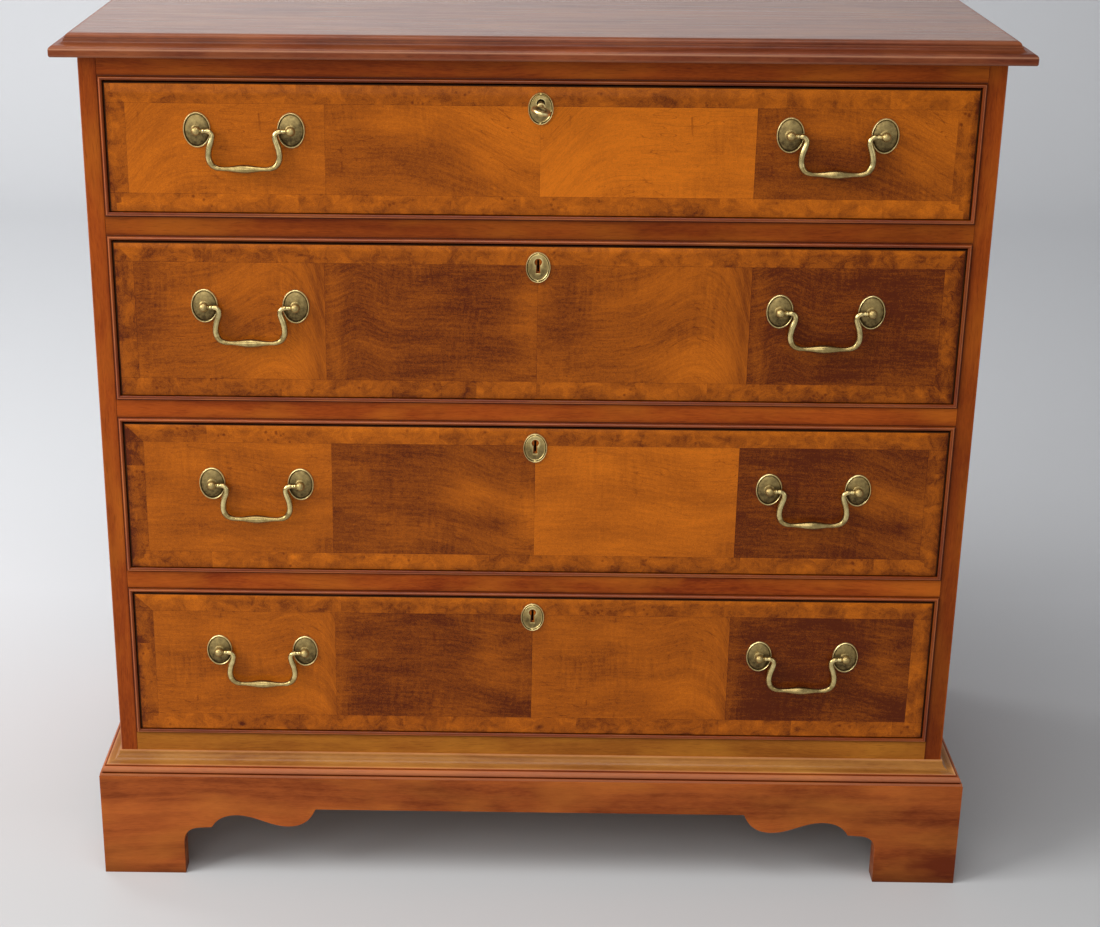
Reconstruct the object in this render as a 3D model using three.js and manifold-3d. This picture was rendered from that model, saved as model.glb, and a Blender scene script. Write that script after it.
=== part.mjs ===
// Chest of four long drawers in mahogany, on shaped bracket feet, with brass swan-neck pulls.
// Millimetres. X runs to the right, Y from the front to the back, Z up.
// The origin lies on the floor, under the middle of the whole chest.
import * as THREE from 'three';
import { mergeVertices } from 'three/addons/utils/BufferGeometryUtils.js';
import Module from 'manifold-3d';

const wasm = await Module();
wasm.setup();

// Fits
const FIT = 0.3; // gap left round a piece that is let into another
const OVERRUN = 6; // how far a cutter runs past the face that it opens
const SAME_POINT = 0.0001; // corners closer than this are one corner
const ROUND_STEPS = 4; // facets in a quarter of a moulding's curve
const CURVE_STEPS = 6; // facets in half of a drawn curve

// Case
const CASE_WIDTH = 866;
const CASE_DEPTH = 466;
const SIDE_THICKNESS = 21.2;
const BACK_THICKNESS = 12;
const BACK_REBATE = 9; // width of the step in each side that takes the back
const BACK_BOARDS = 4;
const BOARD_JOINT_WIDTH = 2.4; // V-shaped groove where two back boards meet
const BOARD_JOINT_DEPTH = 1.6;

// Cock beads round the drawer openings
const BEAD_WIDTH = 4;
const BEAD_PROUD = 2.6;

// Rails and dustboards between the drawers
const RAIL_SHOWN = 18; // face of a rail between its two beads
const TOP_RAIL_SHOWN = 19.2;
const BOTTOM_RAIL_SHOWN = 20.4;
const RAIL_DEPTH = 60;
const REAR_RAIL_DEPTH = 40;
const RUNNER_WIDTH = 45;
const DUSTBOARD_THICKNESS = 8;
const STOP_WIDTH = 40; // drawer stops, glued to the rail behind the drawer front
const STOP_LENGTH = 25;
const STOP_HEIGHT = 5;
const stopPlaceShare = 0.3; // from the middle, of the opening's width

// Top board
const TOP_THICKNESS = 20.6;
const TOP_OVERHANG = 22;
const TOP_BACK_OVERHANG = 2;
const TOP_EDGE_WIDTH = 17.9; // moulded edge, from the nosing in to the flat

// Base with its bracket feet
const BASE_HEIGHT = 117;
const BASE_THICKNESS = 21; // planted on the case, so also how far it stands out
const MOULDING_HEIGHT = 20.8;
const APRON_HEIGHT = 79.5; // clear height under the straight part of the base
const FRONT_BRACKET = 227.3; // from a foot's outer edge to the straight part
const SIDE_BRACKET = 190;
const CASE_LAP = 22; // how far the case runs down behind the base
const BLOCK_SIZE = 45; // glue blocks behind the feet
const BLOCK_RISE = 1; // glue blocks end this far above the floor
const REAR_BRACKET_THICKNESS = 16;
const REAR_BRACKET_WIDTH = 112;
const REAR_BRACKET_FOOT = 62;
const REAR_BRACKET_EDGE = 22;

// Drawers
const TOP_FRONT_HEIGHT = 123.5;
const LOWER_FRONT_HEIGHT = 155.5;
const TOP_PULL_HEIGHT = 79.4; // pull's pivots above the lower edge of the front
const LOWER_PULL_HEIGHT = 92.6;
const FRONT_THICKNESS = 22;
const GAP_SIDE = 1.5;
const GAP_ABOVE = 2.5;
const GAP_BELOW = 1.5;
const SPACE_BEHIND = 18; // free space behind a closed drawer
const LINING_THICKNESS = 10; // drawer sides
const DRAWER_BACK_THICKNESS = 9;
const LINING_DROP = 3; // drawer sides below the top of the front
const DRAWER_BACK_DROP = 9;
const DRAWER_BOTTOM_THICKNESS = 6;
const DRAWER_BOTTOM_RISE = 8;
const GROOVE_DEPTH = 5;
const DOVETAIL_PITCH = 36;
const DOVETAIL_PIN = 7; // pin between two tails, at its narrow end
const DOVETAIL_LAP = 7; // wood left in front of the tails
const dovetailSlopeShare = 1 / 6;

// Brass pulls
const PULL_CENTRES = 88.9; // between the two posts
const PULL_FROM_END = 130.9; // from the end of the drawer front to the middle of the pull
const PIVOT_PROUD = 7;
const BALL_RADIUS = 4.6;
const SHANK_RADIUS = 2.4;
const COLLAR_RADIUS = 3.8;
const NUT_RADIUS = 6;
const NUT_THICKNESS = 4;
const THREAD_SHOWN = 1.5;
const ROSETTE_WIDTH = 26.6;
const ROSETTE_HEIGHT = 34.3;
const ROSETTE_PROUD = 2.6;
const WIRE_RADIUS = 1.9; // bail at its pivots and where the limbs meet the grip
const WIRE_CLEARANCE = 0.45;
const LIMB_RADIUS = 2.7; // swelling in the middle of each limb
const GRIP_RADIUS = 3.8; // swelling in the middle of the grip
const PIVOT_ENGAGED = 3.2; // length of the bail's end inside the ball
const BAIL_DROP = 36;
const BAIL_STEPS = 26;
const BALL_STEPS = 4;
const TURNED_SIDES = 8;
const NUT_SIDES = 6;
const ROSETTE_SIDES = 16;

// Escutcheons and locks
const ESCUTCHEON_WIDTH = 22.4;
const ESCUTCHEON_HEIGHT = 30.9;
const ESCUTCHEON_PROUD = 1.8;
const ESCUTCHEON_BELOW_KEY = 5.2; // its middle lies this far under the key's axis
const KEY_DROP = 16; // key's axis below the top of the front
const KEYHOLE_RADIUS = 3.6;
const KEYHOLE_LENGTH = 11; // from the key's axis down
const KEYHOLE_WAIST = 3.2;
const KEYHOLE_FOOT = 4.6;
const LOCK_WIDTH = 62;
const LOCK_HEIGHT = 38;
const LOCK_PLATE = 1.6;
const LOCK_BODY_WIDTH = 46;
const LOCK_BODY_HEIGHT = 32;
const LOCK_BODY_DEPTH = 10;
const DRILL_PIN_RADIUS = 1.3;
const DRILL_PIN_REACH = 3; // past the lock body, towards the front
const BOLT_WIDTH = 22;
const BOLT_THICKNESS = 5;
const BOLT_THROW = 9;
const BOLT_ABOVE_KEY = 3.6; // bolt's lower edge above the key's axis, drawn back
const MORTISE_CLEARANCE = 1;

// Key in the top drawer
const KEY_REACH = 43; // how far its bow stands out of the drawer front
const BARREL_RADIUS = 3;
const BARREL_BORE_RADIUS = 1.7;
const BARREL_BORE_DEPTH = 13;
const KEY_COLLAR_RADIUS = 4.2;
const KEY_COLLAR_LENGTH = 2.4;
const BIT_REACH = 9.5;
const BIT_LENGTH = 5;
const BIT_THICKNESS = 2.4;
const BIT_CLEARANCE = 0.8;
const BOW_WIDTH = 20.5;
const BOW_LENGTH = 23;
const BOW_THICKNESS = 2.6;
const BOW_METAL = 3;
const KEY_TILT = 14; // degrees that the bow leans, its right end lower

// Worked out from the sizes above
const BASE_WIDTH = CASE_WIDTH + 2 * BASE_THICKNESS;
const CLEAR_WIDTH = CASE_WIDTH - 2 * SIDE_THICKNESS;
const CLEAR_HALF = CLEAR_WIDTH / 2;
const FRAME_DEPTH = CASE_DEPTH - BACK_THICKNESS;
const FRONT_WIDTH = CLEAR_WIDTH - 2 * GAP_SIDE;
const LINING_INSIDE = FRONT_WIDTH / 2 - LINING_THICKNESS;
const CASE_BOTTOM = BASE_HEIGHT - CASE_LAP;
const DRAWER_LENGTH = FRAME_DEPTH - SPACE_BEHIND;
const PULL_FROM_MIDDLE = FRONT_WIDTH / 2 - PULL_FROM_END;
const LOCK_FRONT = FRONT_THICKNESS - LOCK_PLATE - LOCK_BODY_DEPTH;
const BOLT_FRONT = LOCK_FRONT + LOCK_PLATE + FIT;

// Drawers from the lowest up: each stands on the frame below it
const drawers = [];
let openingFloor = BASE_HEIGHT + MOULDING_HEIGHT + BOTTOM_RAIL_SHOWN + BEAD_WIDTH;
for (const number of [4, 3, 2, 1]) {
  const height = number === 1 ? TOP_FRONT_HEIGHT : LOWER_FRONT_HEIGHT;
  const pull = number === 1 ? TOP_PULL_HEIGHT : LOWER_PULL_HEIGHT;
  const ceiling = openingFloor + GAP_BELOW + height + GAP_ABOVE;
  drawers.push({ number, height, pull, floor: openingFloor, ceiling });
  openingFloor = ceiling + RAIL_SHOWN + 2 * BEAD_WIDTH;
}
const TOP_OPENING_CEILING = drawers[3].ceiling;
const CASE_TOP = TOP_OPENING_CEILING + BEAD_WIDTH + TOP_RAIL_SHOWN;

// Solids from outlines

function solid(geometry) {
  const bare = geometry.clone();
  for (const name of Object.keys(bare.attributes)) {
    if (name !== 'position') bare.deleteAttribute(name);
  }
  const merged = mergeVertices(bare, SAME_POINT);
  return new wasm.Manifold(new wasm.Mesh({
    numProp: 3,
    vertProperties: new Float32Array(merged.attributes.position.array),
    triVerts: new Uint32Array(merged.index.array),
  }));
}

// Box from corner to corner; neighbours that share a face get exactly the same numbers
function block(x0, x1, y0, y1, z0, z1) {
  const geometry = new THREE.BoxGeometry();
  const place = geometry.attributes.position;
  for (let i = 0; i < place.count; i += 1) {
    place.setXYZ(i, place.getX(i) < 0 ? x0 : x1, place.getY(i) < 0 ? y0 : y1, place.getZ(i) < 0 ? z0 : z1);
  }
  return solid(geometry);
}

// Outline raised from start to end, then laid along another axis
function extruded(outline, start, end, basis) {
  const points = Array.isArray(outline) ? outline.map(([a, b]) => new THREE.Vector2(a, b)) : null;
  const shape = points ? new THREE.Shape(points) : outline;
  const length = end - start;
  const geometry = new THREE.ExtrudeGeometry(shape, {
    depth: length, bevelEnabled: false, curveSegments: CURVE_STEPS,
  });
  const place = geometry.attributes.position;
  for (let i = 0; i < place.count; i += 1) place.setZ(i, place.getZ(i) < length / 2 ? start : end);
  return solid(geometry.applyMatrix4(basis));
}

const AXIS_X = new THREE.Vector3(1, 0, 0);
const AXIS_Y = new THREE.Vector3(0, 1, 0);
const AXIS_Z = new THREE.Vector3(0, 0, 1);

// Outline in Y and Z, run along X
function alongX(outline, x0, x1) {
  const basis = new THREE.Matrix4().makeBasis(AXIS_Y, AXIS_Z, AXIS_X);
  return extruded(outline, x0, x1, basis);
}

// Outline in X and Z, run along Y
function alongY(outline, y0, y1) {
  const basis = new THREE.Matrix4().makeBasis(AXIS_X, AXIS_Z, AXIS_Y.clone().negate());
  return extruded(outline, -y1, -y0, basis);
}

// Outline in X and Y, run along Z
function alongZ(outline, z0, z1) {
  return extruded(outline, z0, z1, new THREE.Matrix4());
}

// Profile of [radius, y] turned about the Y axis; it starts and ends on the axis
function turned(profile, sides) {
  return new THREE.LatheGeometry(profile.map(([radius, y]) => new THREE.Vector2(radius, y)), sides);
}

function rod(radius, y0, y1, sides) {
  return solid(turned([[0, y0], [radius, y0], [radius, y1], [0, y1]], sides));
}

function mirroredX(outline) {
  return outline.map(([x, z]) => [-x, z]).reverse();
}

// Moulding profile from moves of [out, up, kind]: a line, or a quarter round that
// leaves its start level or plumb. Out and up are shares of the width and the height.
function mouldingProfile(moves, width, height) {
  const points = [];
  for (const [out, up, kind] of moves) {
    const last = points[points.length - 1];
    const steps = kind === 'line' ? 1 : ROUND_STEPS;
    for (let step = 1; step <= steps; step += 1) {
      const turn = (step / steps) * Math.PI / 2;
      const early = kind === 'line' ? 1 : Math.sin(turn);
      const late = kind === 'line' ? 1 : 1 - Math.cos(turn);
      const outPart = kind === 'plumb' ? late : early;
      const upPart = kind === 'plumb' ? early : late;
      const from = last ?? [out * width, up * height];
      points.push([
        from[0] + (out * width - from[0]) * outPart,
        from[1] + (up * height - from[1]) * upPart,
      ]);
    }
  }
  return points;
}

// Half-round bead on a front edge, as [proud, across] from one side of the bead to the other
function beadArc(from, to) {
  const points = [];
  const steps = 2 * ROUND_STEPS;
  for (let step = 0; step <= steps; step += 1) {
    const turn = (step / steps) * Math.PI;
    points.push([-BEAD_PROUD * Math.sin(turn), from + (to - from) * (1 - Math.cos(turn)) / 2]);
  }
  return points;
}

// Outline of a frame's ends, mitred where a bead meets the upright bead on the side
function frameOutline(frame, shrink) {
  const inner = CLEAR_HALF - shrink;
  const outer = CLEAR_HALF + BEAD_WIDTH - shrink;
  const right = [];
  if (frame.beadBelow) right.push([inner, frame.low], [outer, frame.low + BEAD_WIDTH]);
  else right.push([outer, frame.low]);
  if (frame.beadAbove) right.push([outer, frame.high - BEAD_WIDTH], [inner, frame.high]);
  else right.push([outer, frame.high]);
  return [...right, ...mirroredX(right)];
}

// Rail with its beads, runners, rear rail and dustboard, as one glued frame
function frameSolid(frame) {
  const section = [[FRAME_DEPTH, frame.low], [FRAME_DEPTH, frame.high]];
  if (frame.beadAbove) section.push(...beadArc(frame.high, frame.high - BEAD_WIDTH));
  else section.push([0, frame.high]);
  if (frame.beadBelow) section.push(...beadArc(frame.low + BEAD_WIDTH, frame.low));
  else section.push([0, frame.low]);
  const reach = CLEAR_HALF + BEAD_WIDTH;
  const outline = alongY(frameOutline(frame, FIT), -OVERRUN, FRAME_DEPTH);
  let shape = alongX(section, -reach, reach).intersect(outline);
  const panel = CLEAR_HALF - RUNNER_WIDTH;
  const panelBack = FRAME_DEPTH - REAR_RAIL_DEPTH;
  const boardTop = frame.boardLow + DUSTBOARD_THICKNESS;
  if (boardTop < frame.high) {
    shape = shape.subtract(block(-panel, panel, RAIL_DEPTH, panelBack, boardTop, frame.high + OVERRUN));
  }
  shape = shape.subtract(block(-panel, panel, RAIL_DEPTH, panelBack, frame.low - OVERRUN, frame.boardLow));
  if (frame.beadAbove) shape = shape.add(runnersAndStops(frame.high));
  if (frame.beadBelow) shape = shape.subtract(boltMortise(frame.low));
  return shape;
}

// Runners stand a little above the rail, so the drawer front never rubs its bead
function runnersAndStops(railTop) {
  const sink = DUSTBOARD_THICKNESS / 2;
  const inner = CLEAR_HALF - RUNNER_WIDTH;
  const outer = CLEAR_HALF - FIT;
  const runnerTop = railTop + GAP_BELOW - FIT;
  const stopX = CLEAR_WIDTH * stopPlaceShare;
  const stopFront = FRONT_THICKNESS + FIT;
  let pieces = null;
  for (const side of [-1, 1]) {
    const runnerEnds = [side * inner, side * outer].sort((a, b) => a - b);
    const runner = block(...runnerEnds, RAIL_DEPTH, FRAME_DEPTH, railTop - sink, runnerTop);
    const stopLeft = side * stopX - STOP_WIDTH / 2;
    const stopEnds = [stopLeft, stopLeft + STOP_WIDTH, stopFront, stopFront + STOP_LENGTH];
    const stop = block(...stopEnds, railTop - sink, railTop + STOP_HEIGHT);
    pieces = pieces ? pieces.add(runner) : runner;
    pieces = pieces.add(stop);
  }
  return pieces;
}

function boltMortise(railBottom) {
  const half = BOLT_WIDTH / 2 + MORTISE_CLEARANCE;
  const front = BOLT_FRONT - MORTISE_CLEARANCE;
  const back = BOLT_FRONT + BOLT_THICKNESS + MORTISE_CLEARANCE;
  return block(-half, half, front, back, railBottom - OVERRUN, railBottom + BOLT_THROW);
}

// Top board: the moulded edge runs round the front and the two ends
const topEdgeShares = [
  [0.1, 0, 'line'],
  [0, 0.12, 'level'],
  [0, 0.33, 'line'],
  [0.36, 0.54, 'plumb'],
  [0.68, 0.71, 'level'],
  [0.68, 0.77, 'line'],
  [0.74, 0.77, 'line'],
  [1, 1, 'plumb'],
];

function topBoard() {
  const edge = mouldingProfile(topEdgeShares, TOP_EDGE_WIDTH, TOP_THICKNESS);
  const nosing = CASE_WIDTH / 2 + TOP_OVERHANG;
  const back = CASE_DEPTH + TOP_BACK_OVERHANG;
  const right = edge.map(([inset, up]) => [nosing - inset, CASE_TOP + up]);
  const front = edge.map(([inset, up]) => [inset - TOP_OVERHANG, CASE_TOP + up]);
  const acrossDepth = alongY([...right, ...mirroredX(right)], -nosing, back);
  const last = front[front.length - 1];
  const acrossWidth = alongX([...front, [back, last[1]], [back, CASE_TOP]], -nosing, nosing);
  return acrossDepth.intersect(acrossWidth);
}

// Side: housings for the frames, a rebate for the back and the upright bead strips
function caseSide(frames) {
  const beadFoot = drawers[0].floor - BEAD_WIDTH;
  const beadTop = TOP_OPENING_CEILING + BEAD_WIDTH;
  const beadOutline = beadArc(CLEAR_HALF, CLEAR_HALF + BEAD_WIDTH).map(([proud, x]) => [x, proud]);
  const strip = [
    [CLEAR_HALF, BEAD_WIDTH], ...beadOutline, [CLEAR_HALF + BEAD_WIDTH, BEAD_WIDTH],
  ];
  let shape = block(CLEAR_HALF, CASE_WIDTH / 2, 0, CASE_DEPTH, CASE_BOTTOM, CASE_TOP);
  shape = shape.add(alongZ(strip, beadFoot, beadTop));
  for (const frame of frames) {
    shape = shape.subtract(alongY(frameOutline(frame, 0), -OVERRUN, FRAME_DEPTH));
  }
  const rebate = CLEAR_HALF + BACK_REBATE;
  return shape.subtract(
    block(0, rebate, FRAME_DEPTH, CASE_DEPTH + OVERRUN, CASE_BOTTOM - OVERRUN, CASE_TOP + OVERRUN),
  );
}

// Back: upright boards set edge to edge in the rebates
function backBoards() {
  const half = CLEAR_HALF + BACK_REBATE - FIT;
  let shape = block(-half, half, FRAME_DEPTH, CASE_DEPTH, CASE_BOTTOM, CASE_TOP);
  for (let joint = 1; joint < BACK_BOARDS; joint += 1) {
    const x = -half + joint * 2 * half / BACK_BOARDS;
    const groove = [
      [x - BOARD_JOINT_WIDTH, CASE_DEPTH + BOARD_JOINT_DEPTH],
      [x, CASE_DEPTH - BOARD_JOINT_DEPTH],
      [x + BOARD_JOINT_WIDTH, CASE_DEPTH + BOARD_JOINT_DEPTH],
    ];
    shape = shape.subtract(alongZ(groove, CASE_BOTTOM - OVERRUN, CASE_TOP + OVERRUN));
  }
  return shape;
}

// Bracket outline, from the foot's inner corner up to the straight part of the base.
// Shares of the bracket's length from the foot's outer edge, and of the apron's height.
const footWidthShare = 0.381;
const heelShare = 0.465;
const heelTopShares = [0.464, 0.7];
const cuspShares = [0.513, 0.71];
const archStartShares = [0.545, 0.89];
const archTopShares = [0.629, 0.896];
const archFallShares = [0.72, 0.896];
const dipRiseShares = [0.785, 0.735];
const dipShares = [0.867, 0.735];
const tipRiseShares = [0.94, 0.735];
const tipPullShares = [0.975, 0.83];

function bracketCurve(length) {
  const at = ([out, up]) => [out * length, up * APRON_HEIGHT];
  const path = new THREE.Path();
  path.moveTo(footWidthShare * length, 0);
  path.lineTo(footWidthShare * length, heelShare * APRON_HEIGHT);
  path.quadraticCurveTo(footWidthShare * length, heelTopShares[1] * APRON_HEIGHT, ...at(heelTopShares));
  path.lineTo(...at(cuspShares));
  path.quadraticCurveTo(...at(archStartShares), ...at(archTopShares));
  path.bezierCurveTo(...at(archFallShares), ...at(dipRiseShares), ...at(dipShares));
  path.bezierCurveTo(...at(tipRiseShares), ...at(tipPullShares), length, APRON_HEIGHT);
  return path.getPoints(CURVE_STEPS).map((point) => [point.x, point.y]);
}

// Outline of a base board between two ends, with a bracket at each end
function baseOutline(start, end, bracket) {
  const curve = bracketCurve(bracket);
  const near = curve.map(([out, up]) => [start + out, up]);
  const far = curve.map(([out, up]) => [end - out, up]).reverse();
  return [[start, 0], ...near, ...far, [end, 0], [end, BASE_HEIGHT], [start, BASE_HEIGHT]];
}

function baseFront() {
  const outer = BASE_WIDTH / 2;
  const inner = CASE_WIDTH / 2;
  const plan = [[-outer, -BASE_THICKNESS], [outer, -BASE_THICKNESS], [inner, 0], [-inner, 0]];
  const board = alongY(baseOutline(-outer, outer, FRONT_BRACKET), -BASE_THICKNESS, 0);
  return board.intersect(alongZ(plan, -OVERRUN, BASE_HEIGHT + OVERRUN));
}

// Right side of the base, with its glue blocks and the plain bracket of the rear foot
function baseSide() {
  const outer = BASE_WIDTH / 2;
  const inner = CASE_WIDTH / 2;
  const mitreGap = FIT * Math.SQRT2;
  const sunk = inner + BASE_THICKNESS / 2;
  const plan = [
    [inner, mitreGap], [outer, mitreGap - BASE_THICKNESS], [outer, CASE_DEPTH], [inner, CASE_DEPTH],
  ];
  const board = alongX(baseOutline(-BASE_THICKNESS, CASE_DEPTH, SIDE_BRACKET), inner, outer);
  const frontBlock = block(inner - BLOCK_SIZE, sunk, 0, BLOCK_SIZE, BLOCK_RISE, CASE_BOTTOM);
  const rearFace = CASE_DEPTH - REAR_BRACKET_THICKNESS;
  const rearBlock = block(
    inner - BLOCK_SIZE, sunk, rearFace - BLOCK_SIZE, CASE_DEPTH, BLOCK_RISE, CASE_BOTTOM,
  );
  const rearOutline = [
    [sunk, 0],
    [sunk, CASE_BOTTOM],
    [inner - REAR_BRACKET_WIDTH, CASE_BOTTOM],
    [inner - REAR_BRACKET_WIDTH, CASE_BOTTOM - REAR_BRACKET_EDGE],
    [inner - REAR_BRACKET_FOOT, 0],
  ];
  const trimmed = board.intersect(alongZ(plan, -OVERRUN, BASE_HEIGHT + OVERRUN));
  return trimmed.add(frontBlock).add(rearBlock).add(alongY(rearOutline, rearFace, CASE_DEPTH));
}

// Base moulding: hollow, ledge, round and fillet, mitred round the front and sides.
// Shares of the base's projection and the moulding's height.
const baseMouldShares = [
  [0.97, 0, 'line'],
  [0.97, 0.1, 'line'],
  [0.83, 0.1, 'line'],
  [0.83, 0.14, 'line'],
  [0.89, 0.26, 'level'],
  [0.69, 0.44, 'plumb'],
  [0.67, 0.5, 'line'],
  [0.55, 0.5, 'line'],
  [0.07, 0.93, 'level'],
  [0.07, 1, 'line'],
];

function baseMoulding() {
  const edge = mouldingProfile(baseMouldShares, BASE_THICKNESS, MOULDING_HEIGHT);
  const half = CASE_WIDTH / 2;
  const reach = BASE_WIDTH / 2 + OVERRUN;
  const right = edge.map(([out, up]) => [half + out, BASE_HEIGHT + up]);
  const front = edge.map(([out, up]) => [-out, BASE_HEIGHT + up]);
  const top = BASE_HEIGHT + MOULDING_HEIGHT;
  const acrossDepth = alongY([...right, ...mirroredX(right)], -reach, CASE_DEPTH);
  const behind = CASE_DEPTH + OVERRUN;
  const acrossWidth = alongX([...front, [behind, top], [behind, BASE_HEIGHT]], -reach, reach);
  const core = block(-half, half, 0, behind + OVERRUN, BASE_HEIGHT - OVERRUN, top + OVERRUN);
  return acrossDepth.intersect(acrossWidth).subtract(core);
}

// Drawers: Z is zero at the lower edge of the front, Y is zero on its face

function dovetails(liningHeight, grow) {
  const count = Math.max(2, Math.round(liningHeight / DOVETAIL_PITCH));
  const pitch = liningHeight / count;
  const tipHalf = (pitch - DOVETAIL_PIN) / 2 + grow;
  const slope = (FRONT_THICKNESS - DOVETAIL_LAP) * dovetailSlopeShare;
  const tip = DOVETAIL_LAP - grow;
  const root = FRONT_THICKNESS;
  const outlines = [];
  for (let tail = 0; tail < count; tail += 1) {
    const z = (tail + 0.5) * pitch;
    outlines.push([
      [tip, z - tipHalf], [tip, z + tipHalf],
      [root, z + tipHalf - slope], [root, z - tipHalf + slope],
    ]);
  }
  return outlines;
}

function keyholeShape(grow) {
  const shape = new THREE.Shape();
  const radius = KEYHOLE_RADIUS + grow;
  const waist = KEYHOLE_WAIST / 2 + grow;
  const foot = KEYHOLE_FOOT / 2 + grow;
  const turn = Math.asin(waist / radius);
  shape.moveTo(foot, -KEYHOLE_LENGTH - grow);
  shape.lineTo(waist, -radius * Math.cos(turn));
  shape.absarc(0, 0, radius, turn - Math.PI / 2, 3 * Math.PI / 2 - turn, false);
  shape.lineTo(-foot, -KEYHOLE_LENGTH - grow);
  return shape;
}

function drawerFront(drawer) {
  const half = FRONT_WIDTH / 2;
  const liningHeight = drawer.height - LINING_DROP;
  const socket = LINING_THICKNESS + FIT;
  const inside = FRONT_THICKNESS + OVERRUN;
  const keyZ = drawer.height - KEY_DROP;
  let shape = block(-half, half, 0, FRONT_THICKNESS, 0, drawer.height);
  for (const outline of dovetails(liningHeight, FIT)) {
    outline[2][0] = inside;
    outline[3][0] = inside;
    shape = shape.subtract(alongX(outline, half - socket, half + OVERRUN));
    shape = shape.subtract(alongX(outline, -half - OVERRUN, socket - half));
  }
  const grooveEnd = LINING_INSIDE + GROOVE_DEPTH;
  const grooveTop = DRAWER_BOTTOM_RISE + DRAWER_BOTTOM_THICKNESS + 2 * FIT;
  shape = shape.subtract(block(
    -grooveEnd, grooveEnd, FRONT_THICKNESS - GROOVE_DEPTH, inside, DRAWER_BOTTOM_RISE, grooveTop,
  ));
  const plateHalf = LOCK_WIDTH / 2 + FIT;
  const bodyHalf = LOCK_BODY_WIDTH / 2 + FIT;
  const above = drawer.height + OVERRUN;
  const plateFront = FRONT_THICKNESS - LOCK_PLATE - FIT;
  const recesses = [
    block(-plateHalf, plateHalf, plateFront, inside, drawer.height - LOCK_HEIGHT - FIT, above),
    block(-bodyHalf, bodyHalf, LOCK_FRONT - FIT, inside, drawer.height - LOCK_BODY_HEIGHT - FIT, above),
    block(-plateHalf, plateHalf, LOCK_FRONT - FIT, inside, drawer.height - LOCK_PLATE - FIT, above),
    alongY(keyholeShape(FIT), -OVERRUN, LOCK_FRONT + OVERRUN).translate(0, 0, keyZ),
  ];
  for (const side of [-1, 1]) {
    for (const end of [-1, 1]) {
      const x = side * PULL_FROM_MIDDLE + end * PULL_CENTRES / 2;
      const hole = rod(SHANK_RADIUS + FIT, -OVERRUN, inside, TURNED_SIDES);
      recesses.push(hole.translate(x, 0, drawer.pull));
    }
  }
  for (const recess of recesses) shape = shape.subtract(recess);
  return shape;
}

// Sides dovetailed to the front, and the back between them
function drawerBox(drawer) {
  const half = FRONT_WIDTH / 2;
  const liningHeight = drawer.height - LINING_DROP;
  const backFoot = DRAWER_BOTTOM_RISE + DRAWER_BOTTOM_THICKNESS + 3 * FIT;
  const backFace = DRAWER_LENGTH - DRAWER_BACK_THICKNESS;
  const grooveTop = DRAWER_BOTTOM_RISE + DRAWER_BOTTOM_THICKNESS + 2 * FIT;
  const behind = DRAWER_LENGTH + OVERRUN;
  let shape = block(-half, half, backFace, DRAWER_LENGTH, backFoot, drawer.height - DRAWER_BACK_DROP);
  for (const side of [-1, 1]) {
    const ends = [side * LINING_INSIDE, side * half].sort((a, b) => a - b);
    const grooveEnds = [0, side * (LINING_INSIDE + GROOVE_DEPTH)].sort((a, b) => a - b);
    let lining = block(...ends, FRONT_THICKNESS, DRAWER_LENGTH, 0, liningHeight);
    for (const outline of dovetails(liningHeight, 0)) {
      outline[2][0] = FRONT_THICKNESS + DOVETAIL_LAP;
      outline[3][0] = FRONT_THICKNESS + DOVETAIL_LAP;
      lining = lining.add(alongX(outline, ...ends));
    }
    lining = lining.subtract(block(...grooveEnds, 0, behind, DRAWER_BOTTOM_RISE, grooveTop));
    shape = shape.add(lining);
  }
  return shape;
}

function drawerBottom() {
  const half = LINING_INSIDE + GROOVE_DEPTH - FIT;
  const low = DRAWER_BOTTOM_RISE + FIT;
  const front = FRONT_THICKNESS - GROOVE_DEPTH + FIT;
  return block(-half, half, front, DRAWER_LENGTH, low, low + DRAWER_BOTTOM_THICKNESS);
}

// Plates turned as a round and drawn out to an oval: shares of the radius and of the relief
const rosetteShares = [[0, 0], [1, 0], [1, 0.4], [0.95, 0.85], [0.9, 0.35], [0.84, 0.55], [0, 1]];
const escutcheonShares = [
  [0, 0], [1, 0], [1, 0.5], [0.95, 1], [0.89, 0.5], [0.83, 0.8], [0.79, 0.5], [0, 0.5],
];

function ovalPlate(shares, width, height, proud, sides) {
  const profile = shares.map(([radius, relief]) => [radius, -relief * proud]);
  const geometry = turned(profile.reverse(), sides);
  return solid(geometry.scale(width / 2, 1, height / 2));
}

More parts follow.
